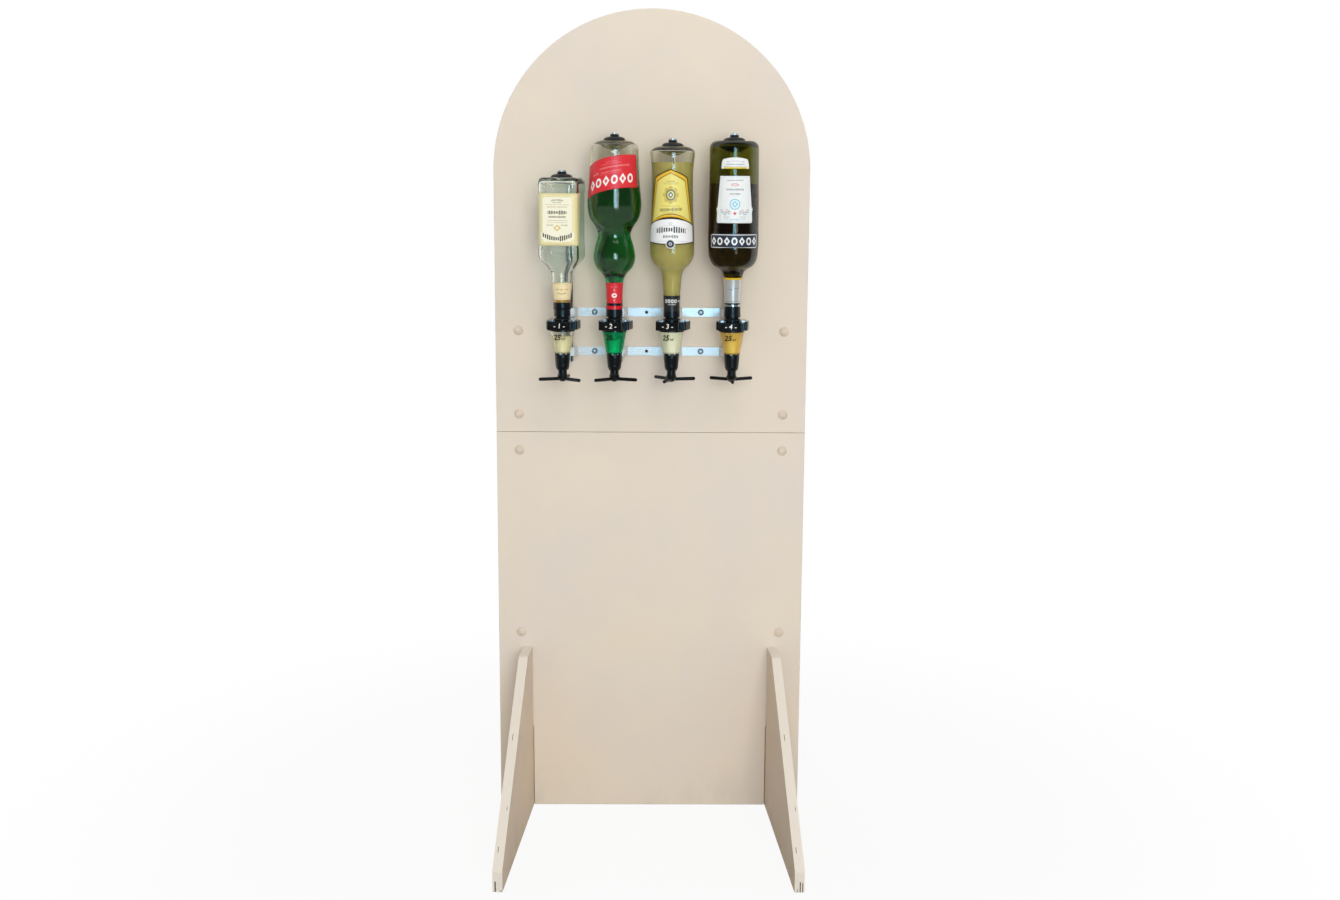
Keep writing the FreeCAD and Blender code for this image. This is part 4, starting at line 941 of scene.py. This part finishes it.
def dress_flared_bottle(wall):
    gold, pale, dark, white = (238, 190, 40), (236, 224, 122), (44, 38, 24), (242, 244, 246)
    slate, straw, black = (74, 96, 110), (206, 186, 84), (15, 15, 17)
    turn = -5.0
    petals = [math.radians(45 * step) for step in range(8)]
    field_marks = [
        *[disc(straw, 22.6 + 1.15 * math.cos(way), 0.42, 0.46, x=1.05 * math.sin(way)) for way in petals],
        *holed(disc, slate, pale, 22.6, (0.86, 0.98), (0.66, 0.76)),
        *holed(lozenge, slate, white, 22.6, (0.5, 0.62), (0.24, 0.3)),
        *rules((150, 128, 44), (24.75, 1.5, 0.025), (24.55, 1.3, 0.02), (20.6, 1.7, 0.025)),
        strokes((110, 92, 36), 25.05, 0.8, 0.11, 0.13, 0.24),
        strokes((80, 66, 30), 19.95, 2.15, 0.36, 0.24, 0.24, Slope=0.04),
        panel((120, 98, 38), 19.4, 1.6, 0.022, x=0.1, Bow=-0.03),
    ]
    banner_marks = [
        strokes(dark, 16.35, 2.95, 0.58, 0.46, 0.3, Bow=-0.035),
        strokes((64, 60, 54), 15.1, 1.45, 0.3, 0.29, 0.27, Bow=-0.03),
        *holed(disc, (196, 200, 204), white, 17.45, (0.36, 0.22), (0.22, 0.12)),
        *[panel((150, 156, 160), level, 3.9, 0.02, Bow=bow) for level, bow in ((17.1, -0.06), (14.3, -0.02))],
    ]

    def pointed(apex, shoulder):
        return lambda share: (shoulder + (apex - shoulder) * max(0.0, 1 - abs(share)) ** 0.85) * MM

    def arched(crown, side):
        return lambda share: (side + (crown - side) * (1 - share * share)) * MM

    def field(inset):
        return arched(184.5 + inset, 168.5 + inset), pointed(272.5 - inset, 257.5 - inset)

    border, gold_paper = FINISHES["dark_gold_border"], printed_paper("gold_paper", gold, [], 0.35)
    field_paper = printed_paper("pale_gold_paper", pale, field_marks, 0.4)
    banner_paper = printed_paper("white_paper", white, banner_marks)
    papers = [      # name, lower and upper edge, half angle at the foot, how much it narrows, paper
        ("dark_border_label", *field(0.0), 71.0, 21.0, border),
        ("gold_label", *field(1.6), 68.6, 20.6, gold_paper),
        ("dark_inner_label", *field(6.4), 60.5, 18.6, border),
        ("pale_field_label", *field(7.4), 58.8, 18.2, field_paper),
        ("banner_outline", arched(135.9, 139.4), arched(184.2, 171.6), 71.6, 0.0, border),
        ("white_banner", arched(137.5, 141.0), arched(182.6, 170.0), 70.0, 0.0, banner_paper),
    ]
    for layer, (name, low, high, half_angle, taper, paper) in enumerate(papers):
        paper_label(name, wall.under(layer), low, high, lambda rise: half_angle - taper * rise, paper, turn)
    round_seal(wall.under(len(papers)), math.radians(turn))
    dots = [-1.15 + 0.62 * step for step in range(4)]
    pattern = [
        *holed(disc, white, black, 3.05, (0.26, 0.36), (0.12, 0.2), dots),
        strokes(white, 3.05, 0.36, 0.34, 0.24, 0.24, x=1.6),
        strokes((226, 226, 228), 2.42, 0.8, 0.12, 0.15, 0.24),
    ]
    sleeve("black_capsule", wall, 11.6, 40.5, printed_paper("black_capsule_foil", black, pattern, 0.32), 0.35)
    sleeve("flared_bottle_lip", wall, LIP_FOOT, 11.5, FINISHES["black_foil"])


def round_seal(wall, turn):
    """Round seal over the banner's lower edge, in rings from its middle."""
    slate = (44, 46, 56)
    marks = [*holed(disc, slate, (206, 212, 218), 0, (0.7, 0.7), (0.3, 0.3)), lozenge(slate, 0, 0.2, 0.2)]
    radius, height = 8.6 * MM, 137.4 * MM

    def on_banner(share, rise):
        x = radius * rise * math.cos(2 * math.pi * share)
        y = -radius * rise * math.sin(2 * math.pi * share)
        level = MOUTH + height + y
        reach = wall.outer(level, turn) + GLASS_GAP
        return around(wall.centre, reach, turn + x / reach, level), (x / CM, y / CM)

    sheet("round_seal", 48, 8, on_banner, printed_paper("seal_paper", (238, 238, 238), marks))


def dress_straight_bottle(wall):
    white, navy, blue, yellow = (236, 240, 242), (22, 30, 58), (150, 196, 222), (226, 200, 30)
    grey, faded, slate, dark_grey = (130, 136, 142), (150, 160, 172), (96, 110, 140), (104, 110, 118)
    red, sky, pale_sky, fold_shade_grey = (214, 104, 108), (130, 200, 226), (226, 240, 246), (150, 152, 152)
    small_marks = [
        panel(yellow, 27.52, 2.16, 0.14), panel((120, 140, 170), 27.74, 2.3, 0.03),
        strokes(slate, 28.15, 1.75, 0.13, 0.12, 0.26),
        *both_sides(strokes, slate, 28.62, 0.3, 0.1, 0.12, 0.26, x=1.35),
        strokes(faded, 28.75, 0.8, 0.09, 0.11, 0.22),
    ]
    scroll_inks = (faded, (206, 178, 176), faded, (158, 182, 206), faded)
    scrolls = [(ink, 19.5 + 0.26 * math.sin(1.9 * step), side * (1.02 + 0.36 * step))
               for side in (-1, 1) for step, ink in enumerate(scroll_inks)]
    main_marks = [
        panel(blue, 21.9, 2.68, 3.95, Corner=0.25, Line=0.035),
        strokes(grey, 25.3, 1.55, 0.15, 0.14, 0.24, Slope=0.02),
        *holed(disc, red, white, 24.5, (0.72, 0.26), (0.6, 0.18)), strokes(red, 24.5, 0.45, 0.08, 0.13, 0.26),
        strokes(dark_grey, 23.65, 1.6, 0.2, 0.2, 0.27), strokes(dark_grey, 22.85, 0.95, 0.17, 0.2, 0.27),
        *rules(faded, (23.25, 0.5, 0.015), (22.4, 0.6, 0.015)),
        *[disc(ink, y, 0.22, 0.34, x=x) for ink, y, x in scrolls],
        *[disc(white, y, 0.13, 0.2, x=x) for _, y, x in scrolls],
        *[panel(faded, 18.75 - 0.22 * row, 0.7 - 0.16 * row, 0.03, x=x, Bow=-0.1)
          for x in (-1.6, 1.6) for row in range(3)],
        *holed(disc, sky, pale_sky, 21.0, (0.98, 0.98), (0.8, 0.8)),
        lozenge(sky, 21.0, 0.6, 0.6), disc(pale_sky, 21.0, 0.26, 0.26),
        lozenge((218, 70, 112), 19.35, 0.34, 0.3), strokes(blue, 18.25, 1.0, 0.17, 0.2, 0.26),
    ]
    motifs = [1.4 * step for step in range(-3, 4)]
    plate_marks = [
        panel(white, 14.3, 5.02, 1.16, Corner=0.3, Line=0.13),
        *holed(lozenge, white, navy, 14.3, (0.58, 0.8), (0.22, 0.34), motifs[::2]),
        *holed(disc, white, navy, 14.3, (0.56, 0.7), (0.28, 0.4), motifs[1::2]),
    ]

    def edge(height, bow=0.0):
        return lambda share: (height + bow * (1 - share * share)) * MM

    def small_sides(rise):
        return 33.0 - 4 * rise ** 3

    def main_sides(rise):
        cut_corner = 2.6 * max(0.0, 1 - rise / 0.05)
        ear = 3.6 * math.exp(-((rise - 0.29) / 0.035) ** 2)
        return 44.4 - 8.6 * rise - cut_corner + ear

    small, main, plate = [printed_paper(*paper) for paper in (
        ("pale_paper", white, small_marks), ("white_blue_paper", white, main_marks),
        ("navy_paper", navy, plate_marks, 0.35))]
    paper_label("small_arched_label", wall, edge(273.8), edge(290.6, 3.4), small_sides, small)
    paper_label("tall_white_label", wall, edge(175.9), edge(260.8), main_sides, main, up=60)
    paper_label("navy_plate", wall, edge(129.0, 2.6), edge(154.6, 2.6), lambda rise: 64.0, plate)
    # dark lines and a dot on the silver foil: painted shade in the foil's creases
    foil_fold_shades = [
        panel((96, 98, 98), 5.35, 0.75, 0.03, x=-0.1, Slope=0.22, Bow=0.1),
        disc((84, 86, 88), 5.5, 0.09, 0.14, x=0.95),
        *both_sides(panel, fold_shade_grey, 4.8, 0.02, 2.1, x=1.5), panel((120, 122, 122), 3.05, 3.0, 0.025),
    ]
    foil = printed_paper("silver_capsule_foil", (212, 213, 211), foil_fold_shades, 0.3, 0.45)
    sleeve("silver_capsule", wall, 27.4, 70.6, foil)
    sleeve("yellow_neck_band", wall, 70.7, 74.4, FINISHES["yellow_band"], 0.35)
    sleeve("dark_gap_band", wall, 24.6, 27.3, FINISHES["black_foil"], 0.15)
    sleeve("silver_ring", wall, 20.8, 24.5, FINISHES["silver_foil"], 0.7)
    sleeve("straight_bottle_lip", wall, LIP_FOOT, 20.6, FINISHES["black_foil"], 0.35)


# ---- the stand and its surroundings ----
def paint_frame():
    """Gives every rigid CAD node that stays its finish. A name that ends in _ stands for all stations."""
    wanted = {
        "board_paint": "upper_panel lower_panel left_batten right_batten", "left_foot_lit_paint": "left_foot",
        "right_foot_shaded_paint": "right_foot", "painted_bolt": "coach_bolts",
        "bright_rail": "lower_rail upper_rail",
        "zinc": "washers wing_nuts rail_screws bracket_fork_", "satin_tube": "spine_tubes",
        "nylon": "tube_bushes valve_stem_", "black_rubber": "bungs rubber_bell_", "polished": "grip_rod_",
        "black_moulding": "collar_", "black_matt": "spout_body_ trigger_",
    }
    for finish, names in wanted.items():
        for name in names.split():
            nodes = [f"{name}{station}" for station in STATIONS] if name.endswith("_") else [name]
            for node in nodes:
                mesh = frame["nodes"][node].data
                mesh.materials.clear()
                mesh.materials.append(FINISHES[finish])


def rays(w):
    """Marks the rays that come from the camera, off a gloss or through glass."""
    path = w.add("LightPath").node
    return [path.outputs[f"Is {kind} Ray"] for kind in ("Camera", "Glossy", "Transmission")]


def floor_and_surround():
    """A pale floor that clears to white away from the stand, and a white surround."""
    half, clear_from, clear_to = 14.0, 0.45, 1.5
    least_clear, room_level, glass_room_level, gloss_room_level = 0.92, 0.58, 0.16, 0.08
    room_tint, white_light = (0.96, 0.985, 1.0, 1.0), (1, 1, 1, 1)
    corners = [(-half, -half, 0), (half, -half, 0), (half, half, 0), (-half, half, 0)]
    mesh = mesh_from("floor", corners, [(0, 1, 2, 3)], turn_out=False)
    floor = bpy.data.objects.new("floor", mesh)
    bpy.context.scene.collection.objects.link(floor)
    finish = Finish("floor", (200, 199, 196), 0.9)
    w = finish.w
    x, y, _ = w.parts(finish.place)
    seen, glossy, through = rays(w)
    away = w.length(x, y)
    cleared = w.times(w.ramp(away, clear_from, clear_to, least_clear, 1.0), w.work("MAXIMUM", seen, through))
    white = w.add("Emission", {"Color": white_light, "Strength": 1.0})
    mirror_level = w.ramp(y, -0.3, 0.3, gloss_room_level, 1.0)
    in_metal = w.add("Emission", {"Color": white_light, "Strength": mirror_level})
    mirrored = w.minus(glossy, through, clamp=True)
    direct = w.add("MixShader", {0: cleared, 1: finish.shader.outputs[0], 2: white})
    w.feed(finish.output["Surface"], w.add("MixShader", {0: mirrored, 1: direct, 2: in_metal}))
    mesh.materials.append(finish.material)

    world = bpy.data.worlds.new("studio")
    bpy.context.scene.world = world
    world.use_nodes = True
    w = Wiring(world.node_tree)
    seen, glossy, through = rays(w)
    room_side = w.ramp(w.parts(w.add("TexCoord"))[1], 0.15, -0.35)
    past_glass = w.blend(room_side, 1.0, w.blend(through, gloss_room_level, glass_room_level))
    background = world.node_tree.nodes["Background"].inputs
    w.feed(background["Strength"], w.blend(glossy, w.blend(seen, room_level, 1.0), past_glass))
    w.feed(background["Color"], w.mix(seen, room_tint, white_light))


def lamps():
    """Soft lamps. The window and sill are seen only in reflections, and the ceiling and front never are."""
    for name, power, place, aim, size, colour, lights, shines in (
            ("ceiling", 22.0, (0.5, -2.4, 3.5), (0, 0, 1.35), (1.8, 1.2), (1.0, 0.93, 0.80), True, False),
            ("front", 55.0, (0.5, -3.7, 1.5), (0, 0, 0.95), (1.6, 1.6), (1.0, 0.985, 0.965), True, False),
            ("window", 44.0, (0.30, -3.75, 1.42), (0.03, 0, 1.42), (0.7, 1.9), (0.20, 0.66, 1.0), False, True),
            ("sill", 6.0, (0.90, -3.75, 0.60), (0.1, 0, 0.60), (0.7, 1.1), (1.0, 0.98, 0.96), False, True),
            ("rear", 26.0, (-1.4, 2.7, 2.6), (0, 0, 0.8), (1.6, 1.6), (1.0, 0.99, 0.97), True, True)):
        light = bpy.data.lights.new(name, "AREA")
        light.shape = "RECTANGLE"
        light.size, light.size_y = size
        light.energy = power
        light.color = colour
        holder = bpy.data.objects.new(name, light)
        bpy.context.scene.collection.objects.link(holder)
        holder.location = place
        holder.rotation_mode = "QUATERNION"
        holder.rotation_quaternion = (Vector(aim) - Vector(place)).to_track_quat("-Z", "Y")
        holder.visible_diffuse = holder.visible_transmission = lights
        holder.visible_glossy = shines


def set_camera():
    """Eye-level view, a little from above."""
    pitch, roll, yaw = math.radians(9.917), math.radians(-0.361), math.radians(0.611)
    ahead = Vector((math.sin(yaw) * math.cos(pitch), math.cos(yaw) * math.cos(pitch), -math.sin(pitch)))
    right = Vector((math.cos(yaw), -math.sin(yaw), 0.0))
    down = ahead.cross(right)
    tilted_right = right * math.cos(roll) + down * math.sin(roll)
    tilted_down = down * math.cos(roll) - right * math.sin(roll)
    data = bpy.data.cameras.new("camera")
    data.lens, data.sensor_width = 42.985, 36.0
    camera = bpy.data.objects.new("camera", data)
    bpy.context.scene.collection.objects.link(camera)
    columns = Matrix((tilted_right, -tilted_down, -ahead)).transposed()
    camera.matrix_world = Matrix.Translation((0.0046, -3.0844, 1.2683)) @ columns.to_4x4()
    bpy.context.scene.camera = camera


def main():
    drinks = make_drinks()
    paint_frame()
    stations = {    # finish and slot of the glass, and how the bottle is dressed
        1: ("clear_glass", "clear_glass", dress_square_bottle),
        # bottles 2 and 3 take the shaded copy of clear glass, which is painted shade
        2: ("shaded_clear_glass", "clear_glass", dress_bulbed_bottle),
        3: ("shaded_clear_glass", "clear_glass", dress_flared_bottle),
        4: ("olive_glass", "green_glass", dress_straight_bottle),
    }
    for station, (finish, slot, dress) in stations.items():
        glass = FINISHES[finish]
        wall = glass_bottle(station, glass)
        bottled, measured = drinks[station]
        drink_in_bottle(station, wall, bottled)
        measure_cup(station, measured)
        collar_number(station)
        dress(wall)
        for kind in SPRINGS:
            sprung_coil(station, kind)
        if station in STIPPLE_RADIUS:
            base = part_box(f"bottle_{station}")[1].z + 0.05 * MM
            stud = (0.45 * MM, 0.75 * MM, 0.3 * MM)
            name = f"base_stipple_{station}"
            stud_ring(name, wall.centre, 84, STIPPLE_RADIUS[station], base, stud, glass)
    floor_and_surround()
    lamps()
    set_camera()
    bpy.context.scene.view_settings.view_transform = "Standard"


main()
